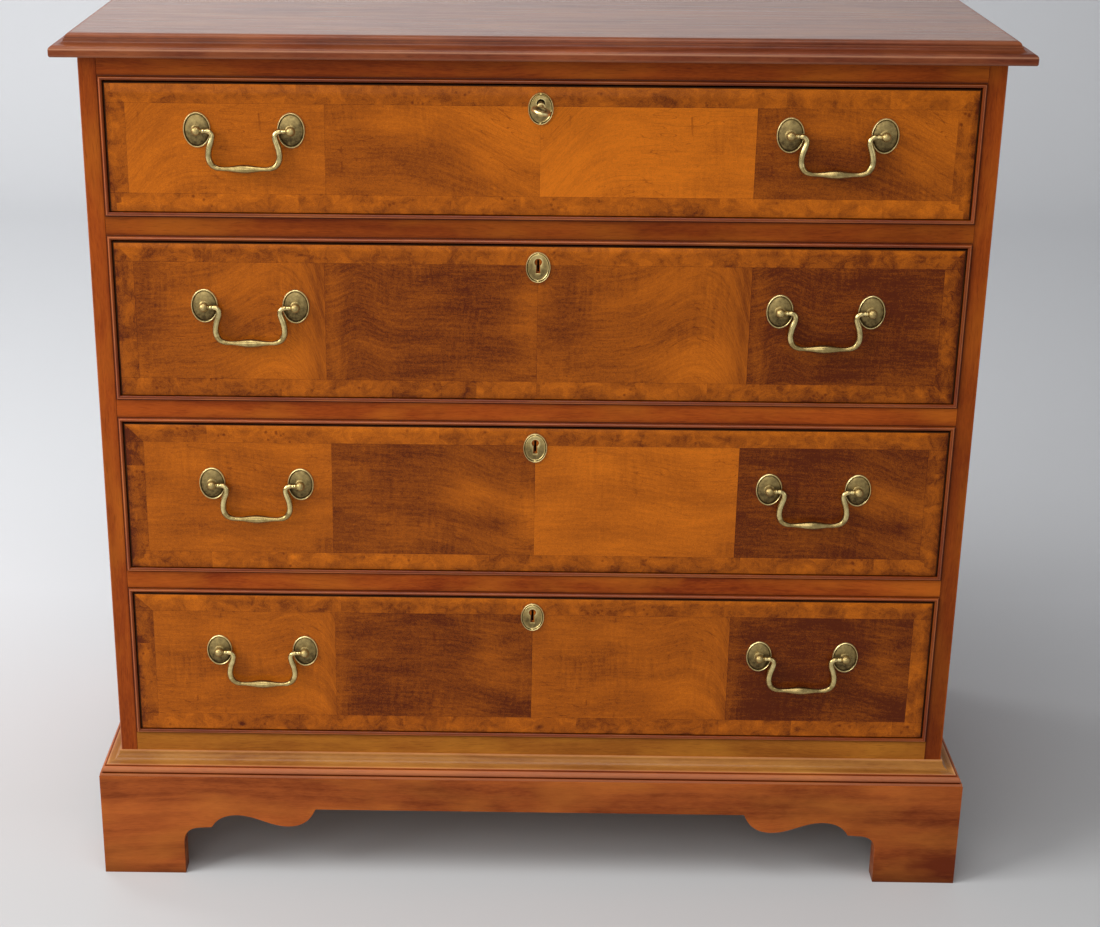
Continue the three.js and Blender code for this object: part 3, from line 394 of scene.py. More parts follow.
def frame_pieces(name, wood, bead_below, bead_above, board_low, board_high, mortise=None):
    """The rail, and the pine frame behind it; the rail over the top lock has a mortise for its bolt."""
    low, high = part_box(name)
    top = high.z - (STOP_HEIGHT if bead_above else 0.0)
    face_low = low.z + (BEAD_WIDTH if bead_below else 0.0)
    face_high = top - (BEAD_WIDTH if bead_above else 0.0)
    bead_back = CASE_FRONT + BEAD_DEPTH
    reach = opening_half + BEAD_WIDTH - HAIR
    inner = opening_half - HAIR
    rail_back = CASE_FRONT + RAIL_DEPTH
    rail = bmesh.new()
    face = [(CASE_FRONT, face_low), (bead_back, face_low)]
    face += [(bead_back, face_high), (CASE_FRONT, face_high)]
    if bead_above:
        face.append((CASE_FRONT, face_high - GLAZE_AND_SHADE_WIDTH))
    if bead_below:
        face.append((CASE_FRONT, face_low + GLAZE_AND_SHADE_WIDTH))
    add_prism(rail, face, 0, -reach, reach)

    # Painted shade, with glaze, on the rail next to each cock bead
    def near_bead(spot):
        above = face_high - spot.z if bead_above else GLAZE_AND_SHADE_WIDTH
        below = spot.z - face_low if bead_below else GLAZE_AND_SHADE_WIDTH
        return GLAZE_AND_SHADE_SHARE * min(0.0, min(above, below) / GLAZE_AND_SHADE_WIDTH - 1.0)

    set_standing(rail, near_bead)
    rail_low, rail_high = (-inner, bead_back + HAIR, low.z), (inner, rail_back, top)
    if mortise:
        add_mortised(rail, rail_low, rail_high, *mortise)
    else:
        add_block(rail, rail_low, rail_high)
    piece(f"{name}_rail", rail, [wood], "carcass", name, ARRIS / 2)
    parts = bmesh.new()
    panel = opening_half - RUNNER_WIDTH
    rear = high.y - REAR_RAIL
    for sign in (-1, 1):
        sides = sorted((sign * panel, sign * inner))
        rise = RUNNER_RISE if bead_above else 0.0
        add_block(parts, (sides[0], rail_back + HAIR, low.z), (sides[1], high.y, top + rise))
        if bead_above:
            left = sign * 2 * opening_half * STOP_SHARE - STOP_WIDTH / 2
            front = CASE_FRONT + front_high.y - front_low.y + STOP_GAP
            add_block(parts, (left, front, top - HAIR), (left + STOP_WIDTH, front + STOP_LENGTH, high.z))
    add_block(parts, (-panel + HAIR, rear, low.z), (panel - HAIR, high.y, top))
    add_block(parts, (-panel + HAIR, rail_back, board_low), (panel - HAIR, rear - HAIR, board_high))
    piece(f"{name}_runners", parts, [pine_along], "carcass", name, ARRIS)


for number in (1, 2, 3):
    low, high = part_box(f"divider_{number}")
    middle = (low.z + high.z - STOP_HEIGHT) / 2
    shade = RAIL_SHADES[number]
    wood = timber(f"rail_{number}", shaded(MAHOGANY_DEEP, shade), shaded(MAHOGANY_PALE, shade), 0)
    frame_pieces(f"divider_{number}", wood, True, True, middle - DUSTBOARD / 2, middle + DUSTBOARD / 2)
low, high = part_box("bottom_frame")
board_top = high.z - STOP_HEIGHT - BOTTOM_BOARD_DROP
frame_pieces("bottom_frame", golden, False, True, board_top - DUSTBOARD, board_top)
low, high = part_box("sub_top")
bolt_low, bolt_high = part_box("drawer_1_lock_bolt")
clear = Vector((MORTISE_CLEAR, MORTISE_CLEAR, 0))
mortise_top = Vector((bolt_high.x, bolt_high.y, low.z + MORTISE_DEPTH))
mortise = (bolt_low - clear, mortise_top + clear)
frame_pieces("sub_top", mahogany[0], True, False, high.z - DUSTBOARD, high.z, mortise)

# The cock beads
# A half-round strip of mahogany, let into the edges round each drawer opening, mitred at the corners
# and proud of the case. A fine quirk parts it from the rail. Its crest, leaning upwards, carries a
# painted highlight over rubbed wear; its flanks and its quirk carry painted shade.
BEAD_PROUD = 0.0026
BEAD_OVER = 0.0008
QUIRK_WIDTH = 0.0009
QUIRK_DEPTH = 0.0006
BEAD_STEPS = 28
HIGHLIGHT_LEAN = math.radians(20)
HIGHLIGHT_HALF = math.radians(12)
FLANK_SHADE = -0.72
ROUND_STEPS = 10


def add_run(bm, profile, corners, closed, indexes):
    """A moulding mitred round corners; each corner is (place, outwards, upwards) and closes a run."""
    rings = []
    for place, outwards, upwards in corners:
        rings.append([bm.verts.new(place + outwards * out + upwards * up) for out, up in profile])
    faces = add_skin(bm, rings, closed=closed)
    for index, face in enumerate(faces):
        face.material_index = indexes[index // len(profile)]
    if not closed:
        bm.faces.new(rings[0]).material_index = indexes[0]
        bm.faces.new(list(reversed(rings[-1]))).material_index = indexes[-1]


bead_radius = (BEAD_WIDTH + BEAD_OVER - QUIRK_WIDTH) / 2
bead_profile = [(HAIR, -BEAD_DEPTH + HAIR), (HAIR, 0.0)]
bead_standing = [-1.0, -1.0]
# A painted highlight along the crest, leaning upwards, and painted shade on the flanks, the back and the
# quirk
for step in range(BEAD_STEPS + 1):
    turn = math.pi * step / BEAD_STEPS
    out = bead_radius - BEAD_OVER - bead_radius * math.cos(turn)
    bead_profile.append((out, BEAD_PROUD - bead_radius + bead_radius * math.sin(turn)))
    bead_standing.append(max(FLANK_SHADE, 1.0 - abs(turn - math.pi / 2 - HIGHLIGHT_LEAN) / HIGHLIGHT_HALF))
bead_profile += [
    (BEAD_WIDTH - QUIRK_WIDTH, -QUIRK_DEPTH), (BEAD_WIDTH - HAIR, -QUIRK_DEPTH),
    (BEAD_WIDTH - HAIR, -BEAD_DEPTH + HAIR),
]
bead_standing += [-1.0, -1.0, -1.0]
bead_wood = [
    timber(f"bead_{letter}", MAHOGANY_DEEP, MAHOGANY_PALE, axis, 0.4)
    for axis, letter in ((0, "x"), (2, "z"))
]


def carry_standing(bm, values):
    """Carries an outline's standing along a moulding, whose corners follow each other ring by ring."""
    standing = bm.verts.layers.float.new("standing")
    for index, vert in enumerate(bm.verts):
        vert[standing] = values[index % len(values)]


FORWARDS = Vector((0, -1, 0))
GAP_ABOVE = 0.0025
GAP_BELOW = 0.0015
for number in (1, 2, 3, 4):
    low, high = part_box(f"drawer_{number}_front")
    corners = []
    for x, z in ((-1, -1), (1, -1), (1, 1), (-1, 1)):
        height = high.z + GAP_ABOVE if z > 0 else low.z - GAP_BELOW
        corners.append((Vector((x * opening_half, CASE_FRONT, height)), Vector((x, 0, z)), FORWARDS))
    bm = bmesh.new()
    add_run(bm, bead_profile, corners, True, (0, 1, 0, 1))
    carry_standing(bm, bead_standing)
    piece(f"cock_bead_{number}", bm, bead_wood, "carcass", None)

# The base
# Three bracket boards of mahogany, mitred at the front corners and planted on the case. Glue blocks
# and plain rear brackets of pine stand behind them.
BASE_DEEP = (0.140, 0.022, 0.004, 1)
BASE_PALE = (0.440, 0.104, 0.018, 1)
BRACKET_FRONT = 0.2273
BRACKET_SIDE = 0.190
APRON = 0.0795
BLOCK_SIZE = 0.045
BLOCK_RISE = 0.001
REAR_BRACKET = (0.112, 0.062, 0.022)
REAR_THICKNESS = 0.016
MITRE_GAP = 0.0001
foot_share = 0.381
heel_share = 0.465
heel_top_shares = (0.464, 0.7)
cusp_shares = (0.513, 0.71)
arch_shares = ((0.545, 0.89), (0.629, 0.896))
dip_shares = ((0.72, 0.896), (0.785, 0.735), (0.867, 0.735))
tip_shares = ((0.94, 0.735), (0.975, 0.83), (1.0, 1.0))


def bracket_curve(length):
    """The foot's shaped edge, from its inner corner up to the straight part of the board."""
    def at(shares):
        return Vector((shares[0] * length, shares[1] * APRON, 0))

    def curve(start, first, second, end):
        points = interpolate_bezier(start, first, second, end, 2 * ROUND_STEPS)
        return [(point.x, point.y) for point in points[1:]]

    def soft(start, pull, end):
        return curve(start, start.lerp(pull, 2 / 3), end.lerp(pull, 2 / 3), end)

    heel = at((foot_share, heel_share))
    heel_top, cusp, arch_top = at(heel_top_shares), at(cusp_shares), at(arch_shares[1])
    dip = at(dip_shares[2])
    points = [(foot_share * length, 0.0), (heel.x, heel.y)]
    points += soft(heel, at((foot_share, heel_top_shares[1])), heel_top)
    points.append((cusp.x, cusp.y))
    points += soft(cusp, at(arch_shares[0]), arch_top)
    points += curve(arch_top, at(dip_shares[0]), at(dip_shares[1]), dip)
    points += curve(dip, at(tip_shares[0]), at(tip_shares[1]), at(tip_shares[2]))
    return points


def base_outline(start, end, length, height):
    near = [(start + out, up) for out, up in bracket_curve(length)]
    far = [(end - out, up) for out, up in reversed(bracket_curve(length))]
    return [(start, 0.0)] + near + far + [(end, 0.0), (end, height), (start, height)]


def mitre_faces(bm, plane_point, plane_normal):
    """Cuts a board off at its mitre and closes the cut."""
    geometry = list(bm.verts) + list(bm.edges) + list(bm.faces)
    plane = {"plane_co": plane_point, "plane_no": plane_normal}
    cut = bmesh.ops.bisect_plane(bm, geom=geometry, clear_outer=True, **plane)
    edges = [item for item in cut["geom_cut"] if isinstance(item, bmesh.types.BMEdge)]
    bmesh.ops.holes_fill(bm, edges=edges)


base_wood = [
    timber(f"mahogany_base_{letter}", BASE_DEEP, BASE_PALE, axis, 0.10, pores=0.12, figure=1.8)
    for axis, letter in enumerate("xy")
]
base_low, base_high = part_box("base_front")
case_half = side_high.x
outline = base_outline(base_low.x, base_high.x, BRACKET_FRONT, base_high.z)
bm = bmesh.new()
add_prism(bm, outline, 1, base_low.y, base_high.y)
for sign in (-1, 1):
    corner = Vector((sign * case_half, CASE_FRONT, 0))
    mitre_faces(bm, corner, Vector((sign, 1, 0)).normalized())
piece("base_board_front", bm, [base_wood[0]], "carcass", "base_front", ARRIS)

for side, sign in (("left", -1), ("right", 1)):
    low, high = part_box(f"base_{side}")
    outer = sign * base_high.x
    inner = sign * case_half
    faces = sorted((inner, outer))
    board = bmesh.new()
    add_prism(board, base_outline(base_low.y, high.y, BRACKET_SIDE, base_high.z), 0, *faces)
    mitre_faces(board, Vector((inner, CASE_FRONT + MITRE_GAP, 0)), Vector((-sign, -1, 0)).normalized())
    piece(f"base_board_{side}", board, [base_wood[1]], "carcass", f"base_{side}", ARRIS)
    blocks = bmesh.new()
    rear = high.y - REAR_THICKNESS
    sides = sorted((sign * (case_half - BLOCK_SIZE), inner - sign * HAIR))
    top = side_low.z - HAIR
    for front in (CASE_FRONT + HAIR, rear - BLOCK_SIZE):
        add_block(blocks, (sides[0], front, BLOCK_RISE), (sides[1], front + BLOCK_SIZE - HAIR, top))
    wide, foot, edge = REAR_BRACKET
    rear_outline = [
        (inner - sign * HAIR, 0.0),
        (inner - sign * HAIR, top),
        (sign * (case_half - wide), top),
        (sign * (case_half - wide), top - edge),
        (sign * (case_half - foot), 0.0),
    ]
    add_prism(blocks, rear_outline, 1, rear, high.y)
    piece(f"base_blocks_{side}", blocks, [pine_upright], "carcass", f"base_{side}", ARRIS)

# The base moulding
# A hollow, a torus and two small fillets, worked on a mahogany strip that is mitred round the front
# corners. It covers the joint between the case and the base. Its hollow takes a paler wood, a painted
# highlight for the light that falls on it from above.
LIT_HOLLOW_DEEP = (0.230, 0.062, 0.010, 1)
LIT_HOLLOW_PALE = (0.640, 0.270, 0.055, 1)
hollow_share = 0.49
TURN_STRENGTH = 1.6
MOULD_STEP = 0.0006
MOULD_WINDOW = 0.0016
MOULD_HIGHLIGHT_CAP = 0.7
base_mould_shares = (
    (0.97, 0.0, "line"), (0.97, 0.1, "line"), (0.83, 0.1, "line"), (0.83, 0.14, "line"),
    (0.89, 0.26, "level"), (0.69, 0.44, "plumb"), (0.67, 0.5, "line"), (0.55, 0.5, "line"),
    (0.07, 0.93, "level"), (0.07, 1.0, "line"), (0.0, 1.0, "line"), (0.0, 0.0, "line"),
)


def moulding_profile(moves, width, height):
    """Lines, and quarter rounds that leave their start level or plumb."""
    points = []
    for out, up, kind in moves:
        last = points[-1] if points else (out * width, up * height)
        steps = 1 if kind == "line" else ROUND_STEPS
        for step in range(1, steps + 1):
            turn = step / steps * math.pi / 2
            early, late = math.sin(turn), 1 - math.cos(turn)
            if kind == "line":
                early = late = 1.0
            across, rise = (late, early) if kind == "plumb" else (early, late)
            points.append((
                last[0] + (out * width - last[0]) * across,
                last[1] + (up * height - last[1]) * rise,
            ))
    return points


def three_sided(half, front, back, height):
    """Corners of a moulding that runs along the left side, the front and the right side."""
    up = Vector((0, 0, 1))
    return [
        (Vector((-half, back, height)), Vector((-1, 0, 0)), up),
        (Vector((-half, front, height)), Vector((-1, -1, 0)), up),
        (Vector((half, front, height)), Vector((1, -1, 0)), up),
        (Vector((half, back, height)), Vector((1, 0, 0)), up),
    ]


def finely(profile, step):
    """The same outline with points at most one step apart, so that the painted shade and highlight can
    follow its corners.
    """
    points = []
    for (out, up), (next_out, next_up) in zip(profile, profile[1:] + profile[:1]):
        count = max(1, math.ceil(math.hypot(next_out - out, next_up - up) / step))
        points += [
            (out + (next_out - out) * index / count, up + (next_up - up) * index / count)
            for index in range(count)
        ]
    return points


def standing_of(profile, reach):
    """How far each point of a closed outline stands out of its surroundings, from -1 to 1."""
    area = sum(a[0] * b[1] - b[0] * a[1] for a, b in zip(profile, profile[1:] + profile[:1]))
    count, values = len(profile), []
    for index, (out, up) in enumerate(profile):
        ends = []
        for way in (1, -1):
            spot, walked = index, 0.0
            while walked < reach:
                first, second = profile[spot % count], profile[(spot + way) % count]
                walked += math.hypot(second[0] - first[0], second[1] - first[1])
                spot += way
            ends.append(profile[spot % count])
        (ahead_out, ahead_up), (back_out, back_up) = ends
        turn = (ahead_out - out) * (back_up - up) - (ahead_up - up) * (back_out - out)
        values.append(max(-1.0, min(1.0, turn * math.copysign(TURN_STRENGTH, area) / reach ** 2)))
    return values


mould_low, mould_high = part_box("base_moulding")
profile = moulding_profile(base_mould_shares, base_high.x - case_half, mould_high.z - mould_low.z)
profile = finely(list(dict.fromkeys(profile)), MOULD_STEP)
bm = bmesh.new()
corners = three_sided(case_half + HAIR, CASE_FRONT - HAIR, mould_high.y, mould_low.z)
add_run(bm, profile, corners, False, (1, 0, 1))
# A capped painted highlight on the crests, and painted shade in the narrow corners of the profile
carry_standing(bm, [min(value, MOULD_HIGHLIGHT_CAP) for value in standing_of(profile, MOULD_WINDOW)])
lit_hollow = [
    timber(f"bleached_{letter}", LIT_HOLLOW_DEEP, LIT_HOLLOW_PALE, axis, 0.3, pores=0.15)
    for axis, letter in enumerate("xy")
]
# Faces above the hollow's foot take the paler wood: a painted highlight
hollow_foot = mould_low.z + hollow_share * (mould_high.z - mould_low.z)
for face in bm.faces:
    if face.calc_center_median().z > hollow_foot:
        face.material_index += 2
woods = [mahogany[0], mahogany[1]] + lit_hollow
piece("base_moulding_run", bm, woods, "carcass", "base_moulding")

# The top
# One wide mahogany board with the grain running across the chest. An ovolo, a fillet, a hollow and
# a nosing are worked on its front and ends, and the back edge is square.
TOP_DEEP = (0.145, 0.038, 0.012, 1)
TOP_PALE = (0.330, 0.112, 0.035, 1)
# The moulded edge takes a darker copy of the top's wood: painted shade over its upward faces
EDGE_SHADED_DEEP = (0.095, 0.017, 0.005, 1)
EDGE_SHADED_PALE = (0.270, 0.062, 0.021, 1)
TOP_EDGE = 0.0179
top_edge_shares = (
    (0.1, 0.0, "line"), (0.0, 0.12, "level"), (0.0, 0.33, "line"), (0.36, 0.54, "plumb"),
    (0.68, 0.71, "level"), (0.68, 0.77, "line"), (0.74, 0.77, "line"), (1.0, 1.0, "plumb"),
)
nosing_share = 0.33
NOSING_REACH = 0.05
EDGE_HIGHLIGHT_AND_SHADE_SHARE = 0.38
TOP_MARGIN = 0.003
top_wood = timber("mahogany_top", TOP_DEEP, TOP_PALE, 0, 0.70, (0.26, 0.36), pores=0.4, figure=0.7)
shaded_edge_wood = timber("mahogany_top_edge_shaded", EDGE_SHADED_DEEP, EDGE_SHADED_PALE, 0, 0.3, (0.30, 0.40), figure=1.2)
top_low, top_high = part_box("top_board")
thickness = top_high.z - top_low.z
shape = list(dict.fromkeys(moulding_profile(top_edge_shares, TOP_EDGE, thickness)))
closed = finely(shape, MOULD_STEP)
edge = closed[:closed.index(shape[-1]) + 1]
edge_standing = []
# The nosing's crest keeps its full painted highlight; elsewhere the edge's painted highlight and painted
# shade are weakened
for (inset, up), value in zip(edge, standing_of(closed, MOULD_WINDOW)):
    on_nosing_highlight = abs(up / thickness - nosing_share) < NOSING_REACH
    edge_standing.append(value if on_nosing_highlight else EDGE_HIGHLIGHT_AND_SHADE_SHARE * value)
edge_standing.append(0.0)
edge.append((TOP_EDGE + TOP_MARGIN, thickness))
bm = bmesh.new()
rings = []
for place, outwards, upwards in three_sided(top_high.x, top_low.y, top_high.y, top_low.z):
    rings.append([bm.verts.new(place - outwards * inset + upwards * up) for inset, up in edge])
strips = len(edge) - 1
for index, face in enumerate(add_skin(bm, rings, around=False)):
    face.material_index = 0 if index % strips == strips - 1 else 1
bm.faces.new([ring[0] for ring in rings]).material_index = 1
bm.faces.new([ring[-1] for ring in reversed(rings)])
bm.faces.new(rings[0] + list(reversed(rings[-1])))
carry_standing(bm, edge_standing)
piece("top_board_moulded", bm, [top_wood, shaded_edge_wood], "carcass", "top_board")

# The drawer linings
# Sides, backs and bottoms of pale oak, unpolished. The sides are dovetailed to the front, and the
# bottom slides in grooves under the back.
OAK_DEEP = (0.230, 0.130, 0.060, 1)
OAK_PALE = (0.420, 0.270, 0.140, 1)
oak, oak_across = [
    timber(name, OAK_DEEP, OAK_PALE, axis, 0.0, (0.5, 0.7), figure=0.8)
    for name, axis in (("oak", 1), ("oak_across", 0))
]


def refinish(node, material):
    """Gives a CAD node that is shown as it is its real finish."""
    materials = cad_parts[node].data.materials
    materials.clear()
    materials.append(material)


for number in (1, 2, 3, 4):
    refinish(f"drawer_{number}_box", oak)
    refinish(f"drawer_{number}_bottom", oak_across)

# The drawer fronts
# A solid mahogany ground, faced with figured veneer in four leaves. Two leaves of each front are cut
# one after the other from a golden flitch and two from a brown one, so each figure shows twice. A
# crossbanding of burr veneer, pieced together from short lengths, is mitred round them.
VENEER = 0.0006
BANDING = 0.0180
# The veneer stops short of the front's edges, so the near-black ground shows as a painted shadow
FRONT_MARGIN = 0.0011
SOFT_EDGE = 0.0007
SOFT_DROP = 0.0004
leaf_joints = {1: 0.2035, 2: 0.2065, 3: 0.2035, 4: 0.2035}
GLUE_LINE = 0.0004
CELL = 0.0064
KEY_DROP = 0.016
# Openings in the veneer behind the keyholes: half the width, and the reach above and below the key
KEY_WINDOW = (0.0046, 0.0046, 0.0126)
KEY_SLIT = (0.0011, 0.0026, 0.0092)
VENEER_DEEP = (0.095, 0.0165, 0.004, 1)
VENEER_PALE = (0.640, 0.162, 0.0085, 1)
VENEER_RED = (0.0855, 0.00825, 0.0024, 1)
VENEER_POLISH = 0.05
VENEER_ROUGHNESS = (0.0, 1.0, 0.40, 0.28)
VENEER_RELIEF = (0.05, 0.0003)
TONE_SPAN = (0.0, 1.05)
LEAF_SWAY = (9.0, 2.0, (0.02, 0.014, 0.0))
BURR_SWAY = (48.0, 2.0, (0.030, 0.026, 0.0))
# How strongly the clouds, the stripe or swirl, the flecks, and the ring lines or eyes show
LEAF_STRENGTHS = (0.27, 0.23, 0.54, 0.44)
BURR_STRENGTHS = (0.44, 0.30, 0.24, 0.60)
RIPPLE_STRENGTH = 0.50
FINE_STRENGTH = 0.95
PORE_STRENGTH = 0.5
EYE_SCALE = 150.0
EYE_SPAN = (0.14, 0.30, 1.0, 0.0)
RING_STRETCH = (35.0, 200.0, 1.0)
RING_SPAN = (0.004, 0.020, 1.0, 0.0)
# How many of each figure fit in a metre along and across the leaf, its detail and roughness, and the
# part of the noise that it uses
veneer_figures = {
    "leaf cloud": (13.0, 36.0, 2.0, 0.55, 0.30, 0.70),
    "stripe": (34.0, 330.0, 4.0, 0.65, 0.30, 0.70),
    "ring patch": (9.0, 15.0, 1.0, 0.55, 0.48, 0.60),
    "burr cloud": (46.0, 58.0, 4.0, 0.58, 0.34, 0.66),
    "swirl": (170.0, 230.0, 4.0, 0.7, 0.30, 0.70),
    "knots": (24.0, 30.0, 1.0, 0.55, 0.56, 0.66),
    "ripple": (230.0, 24.0, 2.0, 0.55, 0.0, 1.0),
    "rippled": (17.0, 13.0, 1.0, 0.55, 0.44, 0.66),
    "fleck": (260.0, 310.0, 3.0, 0.7, 0.0, 1.0),
    "fine fleck": (800.0, 1100.0, 3.0, 0.7, 0.0, 1.0),
    "pores": (420.0, 1000.0, 1.0, 0.55, 0.68, 0.76),
}
BAND_TONE = 0.51
BAND_LENGTHS = (0.048, 0.062)
BAND_TONE_SPAN = 0.20
# How much lighter each drawer's crossbanding is at the left, at the right, at its foot and at its top
border_shifts = {
    1: (0.0, 0.0, 0.05, -0.04), 2: (-0.10, -0.17, -0.07, -0.10),
    3: (-0.22, -0.18, 0.0, -0.04), 4: (-0.20, -0.11, 0.0, -0.05),
}
BAND_EDGE = (0.006, 0.20)
BAND_FOOT = 0.08
# A painted highlight along the veneer's top arris
ARRIS_HIGHLIGHT = 0.26
GLUE_DARK = 0.25
KNOT_REACH = 0.0062
KNOT_WIDENED = 0.8
KNOT_SHARPNESS = 2.2
# What keeps the figure of one short length of the crossbanding from running on into the next
DRAWER_SHIFT = 11
SHORT_SHIFT = 5
UPPER_SHIFT = 3
RIGHT_SHIFT = 7
STRIP_SHIFT = (1.7, 0.9)
GOLDEN_STEP = 0.618
# The depth of colour of each drawer's leaves, from left to right
leaf_tones = {
    1: (0.67, 0.49, 0.90, 0.35), 2: (0.43, 0.19, 0.42, 0.09),
    3: (0.54, 0.25, 0.73, 0.12), 4: (0.54, 0.17, 0.51, 0.06),
}
# Single knots of the crossbanding: their place across, their height, and how much lighter they are
border_knots = {
    1: ((-0.103, 0.0140, -0.22), (0.058, 0.0150, -0.25)), 2: (), 3: ((-0.245, 0.0135, 0.60),),
    4: ((-0.304, 0.0060, -0.60), (0.009, 0.0070, -0.50), (0.279, 0.0080, -0.60)),
}
# Clouds by drawer and flitch: their place and reach, along and up the leaf, and how much they lighten it
cloud_shares = {
    (1, 0): ((0.90, 0.4, 0.20, 0.6, -0.14), (0.30, 0.55, 0.12, 0.12, -0.06)),
    (2, 0): (
        (0.14, 0.75, 0.12, 0.6, -0.22), (0.80, 0.20, 0.20, 0.25, 0.32),
        (0.50, 0.45, 0.25, 0.12, -0.14), (0.62, 0.80, 0.22, 0.22, 0.14), (0.97, 0.5, 0.03, 4.0, -0.18),
    ),
    (3, 0): (
        (0.97, 0.04, 0.08, 0.14, -0.10), (0.90, 0.9, 0.15, 0.2, 0.12), (0.35, 0.35, 0.2, 0.2, -0.08),
    ),
    (4, 0): (
        (0.80, 0.25, 0.22, 0.25, 0.16), (0.35, 0.5, 0.20, 0.2, -0.08), (0.99, 0.5, 0.03, 4.0, -0.15),
    ),
    (1, 1): (
        (1.00, 0.65, 0.28, 0.5, 0.38), (0.55, 0.9, 0.28, 0.2, 0.16),
        (0.35, 0.30, 0.35, 0.3, -0.16), (0.60, 0.10, 0.20, 0.12, -0.14),
    ),
    (2, 1): (
        (0.72, 0.72, 0.12, 0.16, -0.14), (0.76, 0.28, 0.16, 0.12, -0.14),
        (0.98, 0.5, 0.10, 0.7, 0.26), (0.04, 0.5, 0.04, 4.0, 0.20),
    ),
    (3, 1): (
        (0.70, 0.55, 0.14, 0.12, 0.36), (1.00, 0.32, 0.18, 0.3, 0.42), (0.84, 0.28, 0.12, 0.06, -0.25),
    ),
    (4, 1): (
        (0.78, 0.62, 0.08, 0.22, 0.26), (0.92, 0.32, 0.12, 0.14, 0.24),
        (1.00, 0.08, 0.14, 0.08, -0.12), (0.02, 0.5, 0.04, 4.0, 0.16),
    ),
}
# Rises of the growth rings: their place and reach along the leaf, and how high they climb
ring_shares = {
    (1, 0): ((-0.05, 0.22, -0.30),), (2, 0): ((0.76, 0.20, 0.14), (1.08, 0.12, -0.45)),
    (3, 0): ((0.30, 0.30, 0.03), (0.80, 0.20, -0.03)),
    (4, 0): ((0.80, 0.10, 0.04), (1.06, 0.08, -0.25)), (1, 1): ((1.05, 0.40, -0.25),),
    (2, 1): ((0.16, 0.10, 0.06),), (3, 1): ((0.95, 0.30, -0.14),), (4, 1): ((0.95, 0.30, -0.07),),
}


def drawn(tree, place, kind):
    """One of the figures of the veneer."""
    run, cross, detail, rough, low, high = veneer_figures[kind]
    return spread(tree, fibres(tree, place, (run, cross, 1.0), detail, rough), low, high)


def veneer(name, burr):
    """Polished veneer; the leaf map follows the growth rings, and the tone is the depth of colour."""
    material, tree = new_material(name)
    place = wire(tree, "UVMap", {}, uv_map="leaf").outputs[0]
    tone = wire(tree, "Attribute", {}, attribute_name="tone").outputs["Fac"]
    if burr:
        share = BURR_STRENGTHS
        bent = swayed(tree, place, *BURR_SWAY)
        cloud, figure = drawn(tree, bent, "burr cloud"), drawn(tree, bent, "swirl")
        eyes = wire(tree, "TexVoronoi", {"Vector": place, "Scale": EYE_SCALE}).outputs[0]
        lines = spread(tree, eyes, *EYE_SPAN)
        where = drawn(tree, place, "knots")
    else:
        share = LEAF_STRENGTHS
        bent = swayed(tree, place, *LEAF_SWAY)
        cloud, figure = drawn(tree, bent, "leaf cloud"), drawn(tree, bent, "stripe")
        rings = number_math(tree, "SUBTRACT", fibres(tree, bent, RING_STRETCH, 0.0, 0.5), 0.5)
        lines = spread(tree, number_math(tree, "ABSOLUTE", rings, 0.0), *RING_SPAN)
        where = drawn(tree, place, "ring patch")
    rippled = number_math(tree, "MULTIPLY", drawn(tree, place, "rippled"), RIPPLE_STRENGTH)
    tone = shifted(tree, tone, drawn(tree, bent, "ripple"), rippled)
    tone = shifted(tree, tone, cloud, share[0])
    tone = shifted(tree, tone, figure, share[1])
    tone = shifted(tree, tone, drawn(tree, place, "fleck"), share[2])
    tone = shifted(tree, tone, drawn(tree, place, "fine fleck"), FINE_STRENGTH)
    colour = dye(tree, spread(tree, tone, *TONE_SPAN), VENEER_DEEP, VENEER_PALE)
    marks = number_math(tree, "MULTIPLY", lines, where)
    colour = dye(tree, number_math(tree, "MULTIPLY", marks, share[3]), colour, VENEER_RED)
    pores = number_math(tree, "MULTIPLY", drawn(tree, place, "pores"), PORE_STRENGTH)
    colour = dye(tree, pores, colour, VENEER_RED)
    roughness = spread(tree, figure, *VENEER_ROUGHNESS)
    polish_over(surface(tree, colour, roughness, figure, *VENEER_RELIEF), VENEER_POLISH)
    return material


leaf_veneer = veneer("figured_veneer", False)
burr_veneer = veneer("burr_veneer", True)


def cell_lines(marks):
    """Grid lines through every mark, with even cells between the marks."""
    lines = []
    for start, end in zip(marks, marks[1:]):
        count = max(1, round((end - start) / CELL))
        lines += [start + (end - start) * index / count for index in range(count)]
    return lines + [marks[-1]]


def band_pieces(length, number):
    """Where each short length of the crossbanding starts, and how light it is."""
    start = 0.0
    index = 3 * number
    pieces = []
    while start < length:
        chance = index * GOLDEN_STEP % 1
        pieces.append((start, BAND_TONE_SPAN * ((index * index * GOLDEN_STEP) % 1 - 0.5)))
        start += BAND_LENGTHS[0] + BAND_LENGTHS[1] * chance
        index += 1
    return pieces


def band_piece(pieces, run):
    return max(index for index, (start, _) in enumerate(pieces) if start <= run)


def leaf_point(number, leaf, along_share, up_share):
    """The depth of colour at a point of a leaf, and how far its growth rings have risen there."""
    flitch = (number, leaf % 2)
    tone = leaf_tones[number][leaf]
    for place, height, reach, spread_up, strength in cloud_shares[flitch]:
        far = ((along_share - place) / reach) ** 2 + ((up_share - height) / spread_up) ** 2
        tone += strength * math.exp(-far)
    rise = 0.0
    for place, reach, height in ring_shares[flitch]:
        rise += height * leaf_joints[number] * math.exp(-((along_share - place) / reach) ** 2)
    return tone, rise


